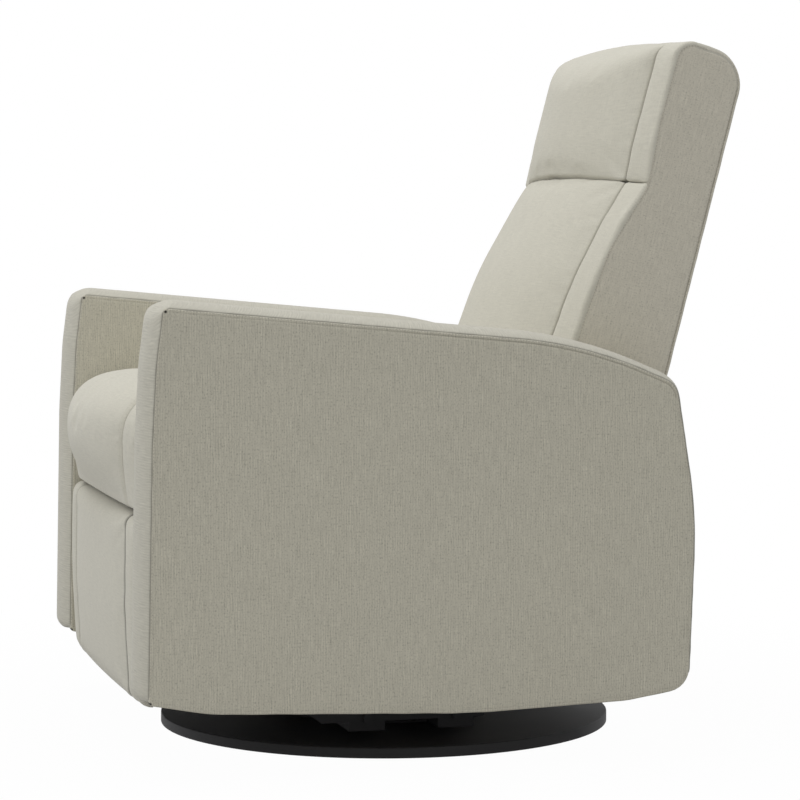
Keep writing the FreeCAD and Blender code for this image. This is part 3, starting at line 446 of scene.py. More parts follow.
def panel(
    name,
    corners,
    place,
    material,
    crown,
    seed,
    rim=RIM,
    cell=PANEL_CELL,
    dip=None,
    shaded=plain_edge,
):
    """Board with a padded face: wall, rolled rim, then rings to the middle of the face."""
    steps = arc_steps(corners, cell)
    edge = outline_points(corners, steps)
    # Painted shade: seam_shade values darken the cloth at the edge wall, along the rim seam and
    # along a topstitched line's groove
    rings, downs, shade = [edge], [np.full(len(edge), PANEL_T)], [np.ones(len(edge))]
    for inset, down in rim:
        ring = outline_points(moved_corners(corners, -inset), steps)
        wave = 0.25 * ripple(lengths(edge)[:-1], seed, 38.0) * math.exp(-inset / 6.0)
        sunk = np.full(len(edge), down)
        wide, strong = shaded(edge)
        dark = np.exp(-((inset / wide) ** 2)) * strong
        if dip and inset:
            line = math.exp(-(((inset - DIP_INSET) / DIP_WIDTH) ** 2))
            sunk = sunk + dip(edge) * line
            dark = dark + 0.35 * np.minimum(1.0, dip(edge)) * line
        shade.append(dark)
        rings.append(ring - outward(ring) * wave[:, None])
        downs.append(sunk)
    flat = [ring + outward(ring) * down[:, None] for ring, down in zip(rings, downs)]
    last = rings[-1]
    middle = edge.mean(0)
    for k in range(1, FACE_RINGS + 1):
        ring = middle + (last - middle) * (1 - (k / (FACE_RINGS + 0.6)) ** 0.8)
        inward = np.linalg.norm(ring[:, None] - last[None], axis=2).min(1)
        rise = crown * np.minimum(1.0, inward / 90.0) ** 0.7
        uneven = 0.5 * np.sin(ring[:, 0] / 71.0 + seed) * np.sin(ring[:, 1] / 58.0 + 2 * seed)
        rings.append(ring)
        downs.append(-rise - uneven * np.minimum(1.0, inward / 60.0))
        shade.append(np.zeros(len(ring)))
        flat.append(ring)
    points = [
        place(a, b, PANEL_T - sunk)
        for ring, down in zip(rings, downs)
        for (a, b), sunk in zip(ring, down)
    ]
    faces = ring_faces(len(rings), len(edge))
    uvs = np.concatenate(flat)[faces].reshape(-1, 2)
    piece = make_object(name, points, faces, uvs, np.concatenate(shade), material)
    close_ends(piece)
    return piece


# Shader maths


class Term:
    """A node socket that takes part in Python sums."""

    def __init__(self, tree, socket):
        self.tree = tree
        self.socket = socket

    def maths(self, operation, *terms):
        settings = {"operation": operation}
        return add_node(self.tree, "ShaderNodeMath", settings, dict(enumerate(terms)))

    def __add__(self, other):
        return self.maths("ADD", self, other)

    def __sub__(self, other):
        return self.maths("SUBTRACT", self, other)

    def __rsub__(self, other):
        return self.maths("SUBTRACT", other, self)

    def __mul__(self, other):
        return self.maths("MULTIPLY", self, other)

    def __truediv__(self, other):
        return self.maths("DIVIDE", self, other)

    def __pow__(self, other):
        return self.maths("POWER", self, other)

    __radd__ = __add__
    __rmul__ = __mul__


def add_node(tree, kind, settings=None, inputs=None, output=0):
    """Any node: its settings first, then the values or links of its sockets."""
    node = tree.nodes.new(kind)
    for name, value in (settings or {}).items():
        setattr(node, name, value)
    for name, value in (inputs or {}).items():
        socket = node.inputs[name]
        if isinstance(value, Term):
            tree.links.new(value.socket, socket)
        else:
            socket.default_value = value
    return Term(tree, node.outputs[output])


def colour(red, green, blue):
    """Linear colour from the 0 to 255 values that a picture shows."""
    out = []
    for value in (red, green, blue):
        c = value / 255
        out.append(c / 12.92 if c <= 0.04045 else ((c + 0.055) / 1.055) ** 2.4)
    return (*out, 1.0)


def scaled(tint, factor):
    return (*[min(1.0, c * factor) for c in tint[:3]], 1.0)


def new_material(name):
    material = bpy.data.materials.new(name)
    material.use_nodes = True
    tree = material.node_tree
    tree.nodes.clear()
    return material, tree


def finish_material(tree, tint, roughness, bump, strength, distance, **fixed):
    """Principled surface with a bump, and its output."""
    inputs = {"Base Color": tint, "Roughness": roughness}
    for name, value in fixed.items():
        inputs[name.replace("_", " ")] = value
    relief = {"Strength": strength, "Distance": distance, "Height": bump}
    inputs["Normal"] = add_node(tree, "ShaderNodeBump", {}, relief)
    surface = add_node(tree, "ShaderNodeBsdfPrincipled", {}, inputs)
    add_node_output(tree, surface)


def add_node_output(tree, surface):
    output = tree.nodes.new("ShaderNodeOutputMaterial")
    tree.links.new(surface.socket, output.inputs["Surface"])


def noise(tree, place, scale, detail=2.0, rough=0.5, **settings):
    inputs = {"Vector": place, "Scale": scale, "Detail": detail, "Roughness": rough}
    return add_node(tree, "ShaderNodeTexNoise", settings, inputs)


def parts_of(tree, place, *numbers):
    """The asked parts of a vector: 0, 1 and 2 are its x, y and z."""
    return [add_node(tree, "ShaderNodeSeparateXYZ", {}, {0: place}, i) for i in numbers]


def fade(tree, value, start, end, first, last):
    """Goes from first to last while the value goes from start to end."""
    inputs = {0: value, 1: start, 2: end, 3: first, 4: last}
    return add_node(tree, "ShaderNodeMapRange", {}, inputs)


def blend_colour(tree, share, first, second):
    settings = {"data_type": "RGBA", "blend_type": "MIX"}
    return add_node(tree, "ShaderNodeMix", settings, {0: share, 6: first, 7: second}, 2)


# The cloth's tint on the pads; darker on the arm bands as painted shade, a little lighter and
# warmer on the arm panels as painted warm light, and lighter on the sides of the back as painted
# light
LINEN = colour(197, 194, 181)
SHADED_BAND_LINEN = colour(187, 184, 171)
WARM_LIT_PANEL_LINEN = colour(200, 196, 180)
LIT_SIDE_LINEN = colour(208, 203, 188)

# Widths in metres of the weave's single threads, thicker yarns, ribs and grains
THREAD = 0.0013
YARN = 0.0026
RIB = 0.0034
GRAIN = 0.0019

# How strongly the painted seam shade darkens the cloth
SEAM_DARK = 0.6

# (y, z) of the points where the arm's seams meet, painted near black as the shade of a small gap,
# and how far from there the painted shade fades, in metres
SEAM_PITS = ((-0.3875, 0.6005), (-0.4095, 0.1035))
PIT_EDGE = (0.0012, 0.0024)


def painted_pit_shade(tree):
    """Painted shade: 1 at the small near-black spots where the arm's seams meet, 0 elsewhere."""
    side, high = parts_of(tree, object_place(tree), 1, 2)
    nearest = None
    for y, z in SEAM_PITS:
        away = ((side - y) ** 2.0 + (high - z) ** 2.0) ** 0.5
        nearest = away if nearest is None else nearest.maths("MINIMUM", nearest, away)
    return fade(tree, nearest, *PIT_EDGE, 1.0, 0.0)


def linen(name, tint, warp, weft, fleck, rib=0.0, pit_shade=False):
    """Woven linen look: yarns both ways with slubs and flecks, set by the weave map in metres."""
    material, tree = new_material(name)
    place = add_node(tree, "ShaderNodeUVMap", {"uv_map": "weave"})
    across, along = parts_of(tree, place, 0, 1)
    drift = noise(tree, place, 60.0, 2.0) - 0.5

    def yarns(over, run, width, longer):
        spot = {0: over / width, 1: run / (width * longer), 2: 0.0}
        spot = add_node(tree, "ShaderNodeCombineXYZ", {}, spot)
        return noise(tree, spot, 1.0, 1.0, 0.5, noise_dimensions="2D") - 0.5

    def ribs(over, pitch):
        turns = (over / pitch + drift * 1.2) * (2 * math.pi)
        return turns.maths("SINE", turns)

    warp_slub = yarns(across, along, YARN, 9.0) + yarns(across, along, THREAD, 24.0)
    weft_slub = yarns(along + 3.1, across, YARN, 7.0) + yarns(along, across + 1.7, THREAD, 16.0)
    grain = yarns(across + 7.7, along, GRAIN, 1.4)
    patch = noise(tree, place, 22.0, 3.0, 0.6) - 0.5
    contrast = noise(tree, place, 38.0, 1.0) * 1.6 + 0.2
    dark = (-0.11 - grain).maths("MAXIMUM", -0.11 - grain, 0.0)
    tone = warp_slub * (0.60 * warp) + weft_slub * (0.60 * weft) + ribs(across, RIB) * rib
    tone = tone * contrast + grain * (0.28 * fleck) - dark * (2.4 * fleck) + patch * 0.10
    share = add_node(tree, "ShaderNodeClamp", {}, {"Value": tone + 0.5, "Min": 0.0, "Max": 1.0})
    shade = blend_colour(tree, share, scaled(tint, 0.66), scaled(tint, 1.34))
    # Painted shade: the seam_shade attribute darkens the cloth where seams, panel rims and
    # topstitched grooves sink in
    sewn = add_node(tree, "ShaderNodeAttribute", {"attribute_name": "seam_shade"}, {}, 2)
    shade = blend_colour(tree, sewn * SEAM_DARK, shade, scaled(tint, 0.25))
    # Painted shade: near-black spots where the arm's seams meet
    if pit_shade:
        shade = blend_colour(tree, painted_pit_shade(tree), shade, scaled(tint, 0.06))
    height = ribs(across, THREAD) * (0.25 * warp) + ribs(along, THREAD) * (0.25 * weft)
    height = height + warp_slub * (0.9 * warp) + weft_slub * (0.9 * weft) + grain * (0.8 * fleck)
    cloth = {"Sheen_Weight": 0.2, "Sheen_Roughness": 0.5, "Specular_IOR_Level": 0.2}
    finish_material(tree, shade, 0.92, height, strength=0.5, distance=0.00045, **cloth)
    return material


def object_place(tree):
    return add_node(tree, "ShaderNodeTexCoord", {}, {}, 3)


def stretch(tree, place, scale):
    return add_node(tree, "ShaderNodeMapping", {}, {"Vector": place, "Scale": scale})


def powder_coat(name, tint, rough, grain):
    """Black powder coat: fine orange peel with a little uneven gloss."""
    material, tree = new_material(name)
    place = object_place(tree)
    peel = noise(tree, place, grain, 2.0, 0.6)
    cloud = noise(tree, place, 9.0, 3.0, 0.6)
    share = cloud * 0.6 + peel * 0.4
    shade = blend_colour(tree, share, scaled(tint, 0.75), scaled(tint, 1.3))
    gloss = cloud * 0.12 + peel * 0.06 + (rough - 0.09)
    relief = {"strength": 0.25, "distance": 0.0001}
    finish_material(tree, shade, gloss, peel, **relief, Specular_IOR_Level=0.12)
    return material


def bare_steel(name, tint):
    """Plain steel with fine drawing marks and a trace of oil."""
    material, tree = new_material(name)
    place = object_place(tree)
    stretched = stretch(tree, place, (60.0, 900.0, 900.0))
    marks = noise(tree, stretched, 1.0, 3.0, 0.6)
    film = noise(tree, place, 40.0, 3.0, 0.6)
    shade = blend_colour(tree, marks * 0.5 + film * 0.5, scaled(tint, 0.7), scaled(tint, 1.15))
    gloss = marks * 0.2 + film * 0.2 + 0.2
    finish_material(tree, shade, gloss, marks, strength=0.2, distance=0.0001, Metallic=1.0)
    return material


def timber(name, light, dark):
    """Sawn frame timber: long grain with year lines and saw marks."""
    material, tree = new_material(name)
    place = object_place(tree)
    stretched = stretch(tree, place, (6.0, 60.0, 60.0))
    sway = noise(tree, place, 5.0, 2.0)
    settings = {"wave_type": "BANDS", "bands_direction": "DIAGONAL"}
    inputs = {"Vector": stretched, "Scale": 0.7, "Distortion": 3.0, "Detail": 2.0}
    lines = add_node(tree, "ShaderNodeTexWave", settings, inputs, 1)
    fibre = noise(tree, stretched, 14.0, 3.0, 0.7)
    share = lines * 0.45 + fibre * 0.35 + sway * 0.2
    shade = blend_colour(tree, share, light, dark)
    finish_material(tree, shade, 0.62 + fibre * 0.2, fibre, strength=0.3, distance=0.0003)
    return material


def moulded(name, tint, rough, grain):
    """Moulded rubber or nylon with a fine mould texture."""
    material, tree = new_material(name)
    place = object_place(tree)
    grit = noise(tree, place, grain, 2.0, 0.6)
    haze = noise(tree, place, 30.0, 2.0)
    shade = blend_colour(tree, haze * 0.7 + grit * 0.3, scaled(tint, 0.8), scaled(tint, 1.2))
    finish_material(tree, shade, haze * 0.15 + rough, grit, strength=0.25, distance=0.0002)
    return material


def sewing_thread(name, tint):
    """Twisted sewing thread."""
    material, tree = new_material(name)
    place = object_place(tree)
    twist = noise(tree, place, 3200.0, 1.0)
    shade = blend_colour(tree, twist, scaled(tint, 0.8), scaled(tint, 1.15))
    relief = {"strength": 0.3, "distance": 0.0001}
    finish_material(tree, shade, 0.75, twist, **relief, Sheen_Weight=0.2)
    return material


# The same linen, worn smooth on the pads and coarser on the flat panels
FABRIC = linen("linen", LINEN, warp=0.15, weft=0.25, fleck=0.25)
# The band, arm panel and back side materials carry painted light and shade in their tints
FABRIC_BAND = linen("linen_band", SHADED_BAND_LINEN, warp=0.45, weft=0.1, fleck=0.2, rib=0.05)
FABRIC_PANEL = linen(
    "linen_panel", WARM_LIT_PANEL_LINEN, warp=0.45, weft=0.2, fleck=0.8, rib=0.07, pit_shade=True
)
FABRIC_OUTER = linen("linen_outer", LINEN, warp=0.3, weft=0.3, fleck=0.7)
FABRIC_SIDE = linen("linen_side", LIT_SIDE_LINEN, warp=0.2, weft=0.4, fleck=0.6)
BLACK = powder_coat("black_powder_coat", colour(56, 56, 57), 0.6, 2600.0)
STEEL = bare_steel("plain_steel", colour(176, 176, 174))
WOOD = timber("frame_timber", colour(205, 176, 132), colour(160, 124, 82))
RUBBER = moulded("black_rubber", colour(30, 30, 31), 0.75, 1500.0)
NYLON = moulded("pale_nylon", colour(214, 210, 198), 0.4, 900.0)
STITCH = sewing_thread("sewing_thread", colour(168, 164, 151))
DUST_CLOTH = moulded("dust_cloth", colour(128, 123, 111), 0.85, 900.0)

SLOT_FINISH = {
    "black_steel": BLACK,
    "plain_steel": STEEL,
    "wood": WOOD,
    "rubber": RUBBER,
    "nylon": NYLON,
    "fabric": FABRIC,
}

# Nodes with another finish than their slot's: black in the base, dust cloth under the seat
NODE_FINISH = {
    "rail_bolts": BLACK,
    "shaft_bushes": BLACK,
    "lower_race": BLACK,
    "upper_race": BLACK,
    "seat_rail_front": DUST_CLOTH,
    "seat_rail_left": DUST_CLOTH,
    "seat_rail_right": DUST_CLOTH,
    "footrest_board": DUST_CLOTH,
}


def finish_cad_nodes():
    """Gives each carried-over CAD node its own finish or that of its material slot."""
    for name, node in nodes.items():
        slots = node.data.materials
        for i, packed in enumerate(slots):
            slots[i] = NODE_FINISH.get(name) or SLOT_FINISH[packed.name.split(".")[0]]


def dress(piece, body, *replaced, fill):
    """Puts a cover on its body in place of the CAD solids that it stands for."""
    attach(piece, body)
    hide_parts(*replaced)


# Seat cushion


def cushion_corners(x):
    """Cushion's side outline: round nose, crowned top and a lip that laps over the front rail."""
    side = past_seam(x, INNER_HALF)
    nose = 31.0 * (1 - dome(x / SEAM_X)) + 10.0 * side**1.6
    top = 501.0 - 14.0 * (1 - dome(x / INNER_HALF))
    chin = -408.0 + (3.0 if x > 0 else 15.0) * side
    return [
        (-446.5 + nose, top - 1.0, 62.0),
        (-150.0, top, 600.0),
        (150.0, top - 24.0, 25.0),
        (150.0, 352.0, 10.0),
        (-358.0, 352.0, 6.0),
        (-364.0, 335.0, 6.0),
        (chin, 335.0, 8.0),
        (-445.5 + nose, 396.0, 110.0),
    ]


def seat_cushion():
    half = INNER_HALF - SOFT_GAP
    name = "seat_cushion_cover"
    piece = upholstered(name, cushion_corners, half, roll=16.0, slack=1.0, seed=3)
    co = read_points(piece) / TO_METRES
    resting = (np.abs(co[:, 0]) > half - 8) | (co[:, 2] < 354) | (co[:, 1] > 140)
    puff(piece, beside_seams(co) | resting, pressure=4.0, cap=7.0)
    refine(piece)
    close_ends(piece, side_uv)
    dress(piece, "rocking_chair", "seat_cushion", fill=0.8)


# Back pads

# Along the back is u, forward from its rear face is v
PAD_BACK_V = 64.5
PAD_HALF = 276.6
PAD_SWELL = 41.0
OUTER_TOP_U = 402.3
OUTER_LIP_U = 425.3
OUTER_T = 19.7

# How much less the side strips fall away on the left, which is stuffed a little fuller
LEFT_STRIP = 0.35


def headrest_corners(swell, drop, full):
    """Headrest's side outline: it laps over the outer back's top edge."""
    end = drop * (1 - LEFT_STRIP * full)
    front = 106.0 + 1.3 * swell - 10.5 * end + 5.0 * full
    return back_corners(
        [
            (253.0, PAD_BACK_V, 4.0),
            (248.0, 110.0 + 0.9 * swell - 13.5 * drop, 5.0),
            (300.0, 112.0 + swell - 14.5 * end + full, 160.0),
            (443.0 - 1.1 * swell, front, 26.0 + 0.52 * swell),
            (453.0 + 0.22 * swell, 88.0 + 0.1 * swell - 8.0 * drop, 14.0),
            (450.5, 0.0, 47.0),
            (OUTER_TOP_U, 0.0, 0.0),
            (OUTER_TOP_U, OUTER_T, 0.0),
            (OUTER_LIP_U, OUTER_T, 0.0),
            (OUTER_LIP_U, PAD_BACK_V, 0.0),
        ]
    )


def lumbar_corners(swell, drop, full):
    """Lumbar pad's side outline, from its foot behind the cushion up to the headrest."""
    end = drop * (1 - LEFT_STRIP * full)
    return back_corners(
        [
            (-68.0, PAD_BACK_V, 6.0),
            (-68.0, 167.0 + swell - 23.0 * end - 1.0 * full, 24.0),
            (95.0, 150.0 + swell - 16.5 * end - 0.5 * full, 500.0),
            (190.0, 125.5 + 0.93 * swell - 12.0 * end + 2.0 * full, 200.0),
            (249.5, 108.5 + 0.87 * swell - 13.0 * drop, 5.0),
            (248.5, PAD_BACK_V, 4.0),
        ]
    )


def pad_cover(name, corners_of, node, seed):
    """One back pad's cover; its side strips wrap over the front edges of the side boards."""

    def corners_at(x):
        full = min(1.0, max(0.0, x / SEAM_X))
        return corners_of(PAD_SWELL * dome(x / SEAM_X), past_seam(x, PAD_HALF), full)

    piece = upholstered(name, corners_at, PAD_HALF, roll=6.0, slack=1.0, seed=seed)
    co = read_points(piece) / TO_METRES
    forward = (BACK_FOOT[0] - co[:, 1]) * math.cos(BACK_TILT)
    forward += (co[:, 2] - BACK_FOOT[1]) * math.sin(BACK_TILT)
    resting = (np.abs(co[:, 0]) > PAD_HALF - 14) | (forward < 70)
    puff(piece, beside_seams(co) | resting, pressure=3.0, cap=4.0)
    refine(piece)
    close_ends(piece, side_uv)
    dress(piece, "reclining_back", node, fill=0.7)


# Footrest

FOOT_HALF = 280.0
FOOT_BACK_Y = -382.3


def footrest_corners(x):
    """Footrest's side outline, flat behind against its board."""
    front = -420.0 + 9.0 * (x / FOOT_HALF) ** 2 + 2.0 * past_seam(x, FOOT_HALF) ** 1.6
    return [
        (FOOT_BACK_Y, 76.0, 2.0),
        (front + 6.0, 78.0, 17.0),
        (front, 200.0, 900.0),
        (front + 2.0, 331.0, 17.0),
        (FOOT_BACK_Y, 329.0, 2.0),
    ]


def footrest_pad():
    edge = {"half": FOOT_HALF, "roll": 10.0, "slack": 2.0, "spread": 1.9}
    piece = upholstered("footrest_cover", footrest_corners, seed=9, **edge)
    co = read_points(piece) / TO_METRES
    resting = (np.abs(co[:, 0]) > FOOT_HALF - 4) | (co[:, 1] > -386)
    puff(piece, beside_seams(co) | resting, pressure=3.0, cap=4.0)
    refine(piece)
    close_ends(piece, side_uv)
    dress(piece, "footrest", "footrest_pad", fill=0.6)


# Arms

# (y, z, radius) round an arm's side, from the front foot up and over the top
TOP_FRONT = 3
ARM_CORNERS = [
    (-411.0, 101.0, 6.0),
    (-404.5, 430.0, 600.0),
    (-399.0, 530.0, 300.0),
    (-389.5, 605.0, 34.0),
    (170.0, 553.0, 600.0),
    (297.0, 499.0, 28.0),
    (324.5, 325.0, 600.0),
    (315.5, 93.5, 30.0),
    (230.0, 80.0, 150.0),
    (20.0, 72.5, 1200.0),
    (-330.0, 86.0, 300.0),
]

# Radius of the top front corner at the seams, and how much more it has on the band's crown
SHARP_CORNER = 4.0
CORNER_GROWTH = 29.0

# Crown over the seam line, thickness under it, height of both feet, and the roll at the feet
BAND_CROWN = 11.0
BAND_T = 13.0
BAND_FOOT_Z = 104.0
FOOT_ROLL = 6.0
FOOT_ROLL_REACH = 9.0

# (share of the width, height over the seam line) where the band rolls in at a seam
BAND_ROLL = [
    (0.034, -BAND_T),
    (0.030, -7.0),
    (0.022, -2.8),
    (0.015, -0.9),
    (0.018, 0.5),
    (0.030, 1.7),
]
CROWN_ROWS = 15
CROWN_START = 0.052
CROWN_WIDTH = 0.896
CROWN_FOOT = 2.8


def arm_corners(corners, radius):
    """The arm's outline with another radius at its top front corner."""
    place = list(corners)
    place[TOP_FRONT] = (*place[TOP_FRONT][:2], radius)
    return place


def band_profile():
    """(share of the width, height over the seam line) all round the band's section."""
    rows = list(BAND_ROLL)
    for i in range(CROWN_ROWS):
        share = CROWN_START + CROWN_WIDTH * i / (CROWN_ROWS - 1)
        rise = (BAND_CROWN - CROWN_FOOT) * dome(2 * (share - CROWN_START) / CROWN_WIDTH - 1)
        rows.append((share, CROWN_FOOT + rise))
    rows += [(1 - a, b) for a, b in reversed(BAND_ROLL)]
    rows += [(0.75, -BAND_T), (0.5, -BAND_T), (0.25, -BAND_T)]
    return rows


def arm_band():
    """One padded band up the front, over the top and down the rear of the left arm."""
    steps = arc_steps(ARM_CORNERS, PANEL_CELL)
    edge = outline_points(ARM_CORNERS, steps)
    away = np.abs(edge[:, 1] - BAND_FOOT_Z)
    first = int(np.argmin(away + 1000 * (edge[:, 0] > -380)))
    last = int(np.argmin(away + 1000 * (edge[:, 0] < 280)))
    picks = np.arange(first if first < last else first - len(edge), last + 1) % len(edge)
    s = lengths(edge[picks], closed=False)
    from_end = np.minimum(1.0, np.minimum(s, s[-1] - s) / FOOT_ROLL_REACH)
    shrink = FOOT_ROLL * (1 - np.sqrt(1 - (1 - from_end) ** 2))
    width = ARM_OUT - INNER_HALF
    rows, shade = [], []
    for share, high in band_profile():
        radius = SHARP_CORNER + CORNER_GROWTH * min(1.0, max(0.0, high + 1.0) / BAND_CROWN)
        line = outline_points(arm_corners(moved_corners(ARM_CORNERS, high), radius), steps)
        near = math.exp(-min(share, 1 - share) * width / PUCKER_REACH)
        wave = 0.3 * ripple(s, 21 + (share > 0.5), 36.0) * near
        lift = (wave if high > -1 else 0 * s) - shrink * (high > 0)
        place = line[picks] + outward(line)[picks] * lift[:, None]
        x = INNER_HALF + width * share + shrink * np.sign(0.5 - share)
        rows.append(np.column_stack([x, place]))
        # Painted shade on the rows where the band rolls in at its seams
        shade.append(math.exp(-((high / 1.2) ** 2)) if high < 2 else 0.0)
    rings = np.stack(rows, 1)
    around = lengths(np.array([(width * a, b) for a, b in band_profile()]))
    shade = np.tile(shade, len(rings))
    piece = ring_mesh("arm_left_band_cover", rings, s, around, shade, FABRIC_BAND)
    refine(piece)
    close_ends(piece, lambda place: (place[0], place[1]))
    return piece


def top_seam_dip(edge):
    """Depth of the second, topstitched line along the arm's top edge, deepest towards the rear."""
    along_top = (edge[:, 1] > 480) & (edge[:, 0] > -385)
    return np.where(along_top, 0.35 + 1.0 * np.clip((edge[:, 0] + 250) / 300, 0, 1), 0.25)


def arm_panels():
    """The flat outer and inner faces of the left arm."""

    def outer_place(y, z, h):
        return (ARM_OUT - PANEL_T + h, y, z)

    def inner_place(y, z, h):
        return (INNER_HALF + PANEL_T - h, y, z)

    corners = arm_corners(ARM_CORNERS, SHARP_CORNER)
    rest = {"material": FABRIC_PANEL, "rim": RIM_STITCHED, "dip": top_seam_dip}
    outer = panel("arm_left_outer_cover", corners, outer_place, crown=0.6, seed=4, **rest)
    inner = panel("arm_left_inner_cover", corners, inner_place, crown=0.0, seed=5, **rest)
    return outer, inner


def make_arms():
    band = arm_band()
    outer, inner = arm_panels()
    kinds = (
        (outer, "outer", ("outer_panel",)),
        (inner, "inner", ("inner_panel",)),
        (band, "band", ("front_band", "top_band", "rear_band")),
    )
    for side in ("left", "right"):
        for piece, kind, stood_for in kinds:
            if side == "right":
                piece = mirrored(piece, f"arm_right_{kind}_cover")
            dress(piece, "rocking_chair", *[f"arm_{side}_{node}" for node in stood_for], fill=0.9)


# Back sides and outer panels

REAR_PANEL_Y = 304.0

# (along the back, forward from its rear face, radius) round a side board
SIDE_CORNERS = [
    (-60.0, -1.5, 8.0),
    (-60.0, 138.0, 8.0),
    (52.0, 131.0, 200.0),
    (150.0, 120.0, 150.0),
    (245.0, 93.5, 20.0),
    (335.0, 96.0, 200.0),
    (449.0, 92.0, 24.0),
    (449.0, -1.5, 48.0),
]


def rear_roll_dip(edge):
    """Depth of the groove that leaves a thin roll along the side's rear and top edges."""
    return 2.4 * np.clip((80.0 - edge[:, 1]) / 30.0, 0.1, 1.0)


def side_edge(edge):
    """(width, strength) of the shade: the seam beside the pads is darker than the rear one."""
    front = edge[:, 1] > 60
    return np.where(front, 1.7, 0.7), np.where(front, 1.0, 0.5)


def side_corners(left):
    """The left side board's cover is stuffed a little fuller in front, as the pads are."""
    fuller = (0.0, 5.5, 5.5, 6.0, 1.5, 5.0, 7.0, 0.0)
    return [(u, v + more * left, r) for (u, v, r), more in zip(SIDE_CORNERS, fuller)]


def back_side(name, left):
    def place(u, v, h):
        return (BACK_HALF - PANEL_T + h, *on_back(u, v))

    rest = {"rim": RIM_STITCHED, "dip": rear_roll_dip, "shaded": side_edge}
    return panel(name, side_corners(left), place, FABRIC_SIDE, crown=0.8, seed=6, **rest)


def board_corners(half, low, high):
    """A board across the chair with small round corners."""
    return [(-half, low, 6.0), (half, low, 6.0), (half, high, 6.0), (-half, high, 6.0)]


def back_outer():
    corners = board_corners(264.7, -245.0, 402.0)

    def place(x, u, h):
        return (x, *on_back(u, PANEL_T - h))

    rest = {"crown": 1.5, "seed": 7, "cell": COARSE_CELL}
    return panel("back_outer_cover", corners, place, FABRIC_OUTER, **rest)


def rear_panel():
    corners = board_corners(INNER_HALF, 95.0, 270.0)

    def place(x, z, h):
        return (x, REAR_PANEL_Y + h, z)

    rest = {"crown": 1.0, "seed": 8, "cell": COARSE_CELL}
    return panel("rear_panel_cover", corners, place, FABRIC_OUTER, **rest)


def make_back():
    left = back_side("back_side_cover_left", 1.0)
    form = back_side("back_side_form", 0.0)
    right = mirrored(form, "back_side_cover_right")
    bpy.data.objects.remove(form)
    dress(left, "reclining_back", "back_side_panel_left", fill=0.9)
    dress(right, "reclining_back", "back_side_panel_right", fill=0.9)
    dress(back_outer(), "reclining_back", "back_outer_panel", fill=0.9)
    dress(rear_panel(), "rocking_chair", "rear_panel", fill=0.9)
    pad_cover("headrest_cover", headrest_corners, "headrest_pad", 11)
    pad_cover("lumbar_cover", lumbar_corners, "lumbar_pad", 12)


# Stitches

STITCH_SPACING = 4.2
STITCH_LENGTH = 2.9
STITCH_THICKNESS = 0.8

# How far inside the seams they run on the arms and the back, and the length between points
ARM_STITCH_INSET = 1.3
BACK_STITCH_INSET = 2.4
LINE_CELL = 4.0


def stitch_tree():
    """Sews small thread loops along the edges that come in."""
    tree = bpy.data.node_groups.new("stitches", "GeometryNodeTree")
    for name, way, kind in (
        ("Lines", "INPUT", "NodeSocketGeometry"),
        ("Spacing", "INPUT", "NodeSocketFloat"),
        ("Length", "INPUT", "NodeSocketFloat"),
        ("Thickness", "INPUT", "NodeSocketFloat"),
        ("Stitches", "OUTPUT", "NodeSocketGeometry"),
    ):
        tree.interface.new_socket(name, in_out=way, socket_type=kind)
    start = tree.nodes.new("NodeGroupInput")
    lines, spacing, length, thickness = [Term(tree, start.outputs[i]) for i in range(4)]
    curves = add_node(tree, "GeometryNodeMeshToCurve", {}, {0: lines})
    inputs = {"Curve": curves, "Length": spacing}
    spots = add_node(tree, "GeometryNodeResampleCurve", {"mode": "LENGTH"}, inputs)
    inputs = {"Segments": 6, "Rings": 4, "Radius": 0.5}
    bead = add_node(tree, "GeometryNodeMeshUVSphere", {}, inputs)
    size = add_node(tree, "ShaderNodeCombineXYZ", {}, {0: length, 1: thickness, 2: thickness})
    loop = add_node(tree, "GeometryNodeTransform", {}, {"Geometry": bead, "Scale": size})
    inputs = {"Vector": add_node(tree, "GeometryNodeInputTangent")}
    turned = add_node(tree, "FunctionNodeAlignRotationToVector", {"axis": "X"}, inputs)
    inputs = {"Points": spots, "Instance": loop, "Rotation": turned}
    sewn = add_node(tree, "GeometryNodeInstanceOnPoints", {}, inputs)
    real = add_node(tree, "GeometryNodeRealizeInstances", {}, {0: sewn})
    smooth = add_node(tree, "GeometryNodeSetShadeSmooth", {}, {0: real})
    done = add_node(tree, "GeometryNodeSetMaterial", {}, {"Geometry": smooth, "Material": STITCH})
    finish = tree.nodes.new("NodeGroupOutput")
    tree.links.new(done.socket, finish.inputs[0])
    return tree


def sew(name, body, lines):
    """One mesh of stitches along open lines of points, riding on a body."""
    points, edges = [], []
    for line in lines:
        first = len(points)
        points += (np.asarray(line) * TO_METRES).tolist()
        edges += [(first + i, first + i + 1) for i in range(len(line) - 1)]
    mesh = bpy.data.meshes.new(name + "_lines")
    mesh.from_pydata(points, edges, [])
    piece = bpy.data.objects.new(name, mesh)
    bpy.context.scene.collection.objects.link(piece)
    tree = stitch_tree()
    modifier = piece.modifiers.new("stitches", "NODES")
    modifier.node_group = tree
    values = {
        "Spacing": STITCH_SPACING,
        "Length": STITCH_LENGTH,
        "Thickness": STITCH_THICKNESS,
    }
    for item in tree.interface.items_tree:
        if item.name in values:
            modifier[item.identifier] = values[item.name] * TO_METRES
    shown = piece.evaluated_get(bpy.context.evaluated_depsgraph_get())
    made = bpy.data.meshes.new_from_object(shown)
    piece.modifiers.clear()
    made.name = name
    piece.data = made
    bpy.data.meshes.remove(mesh)
    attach(piece, body)


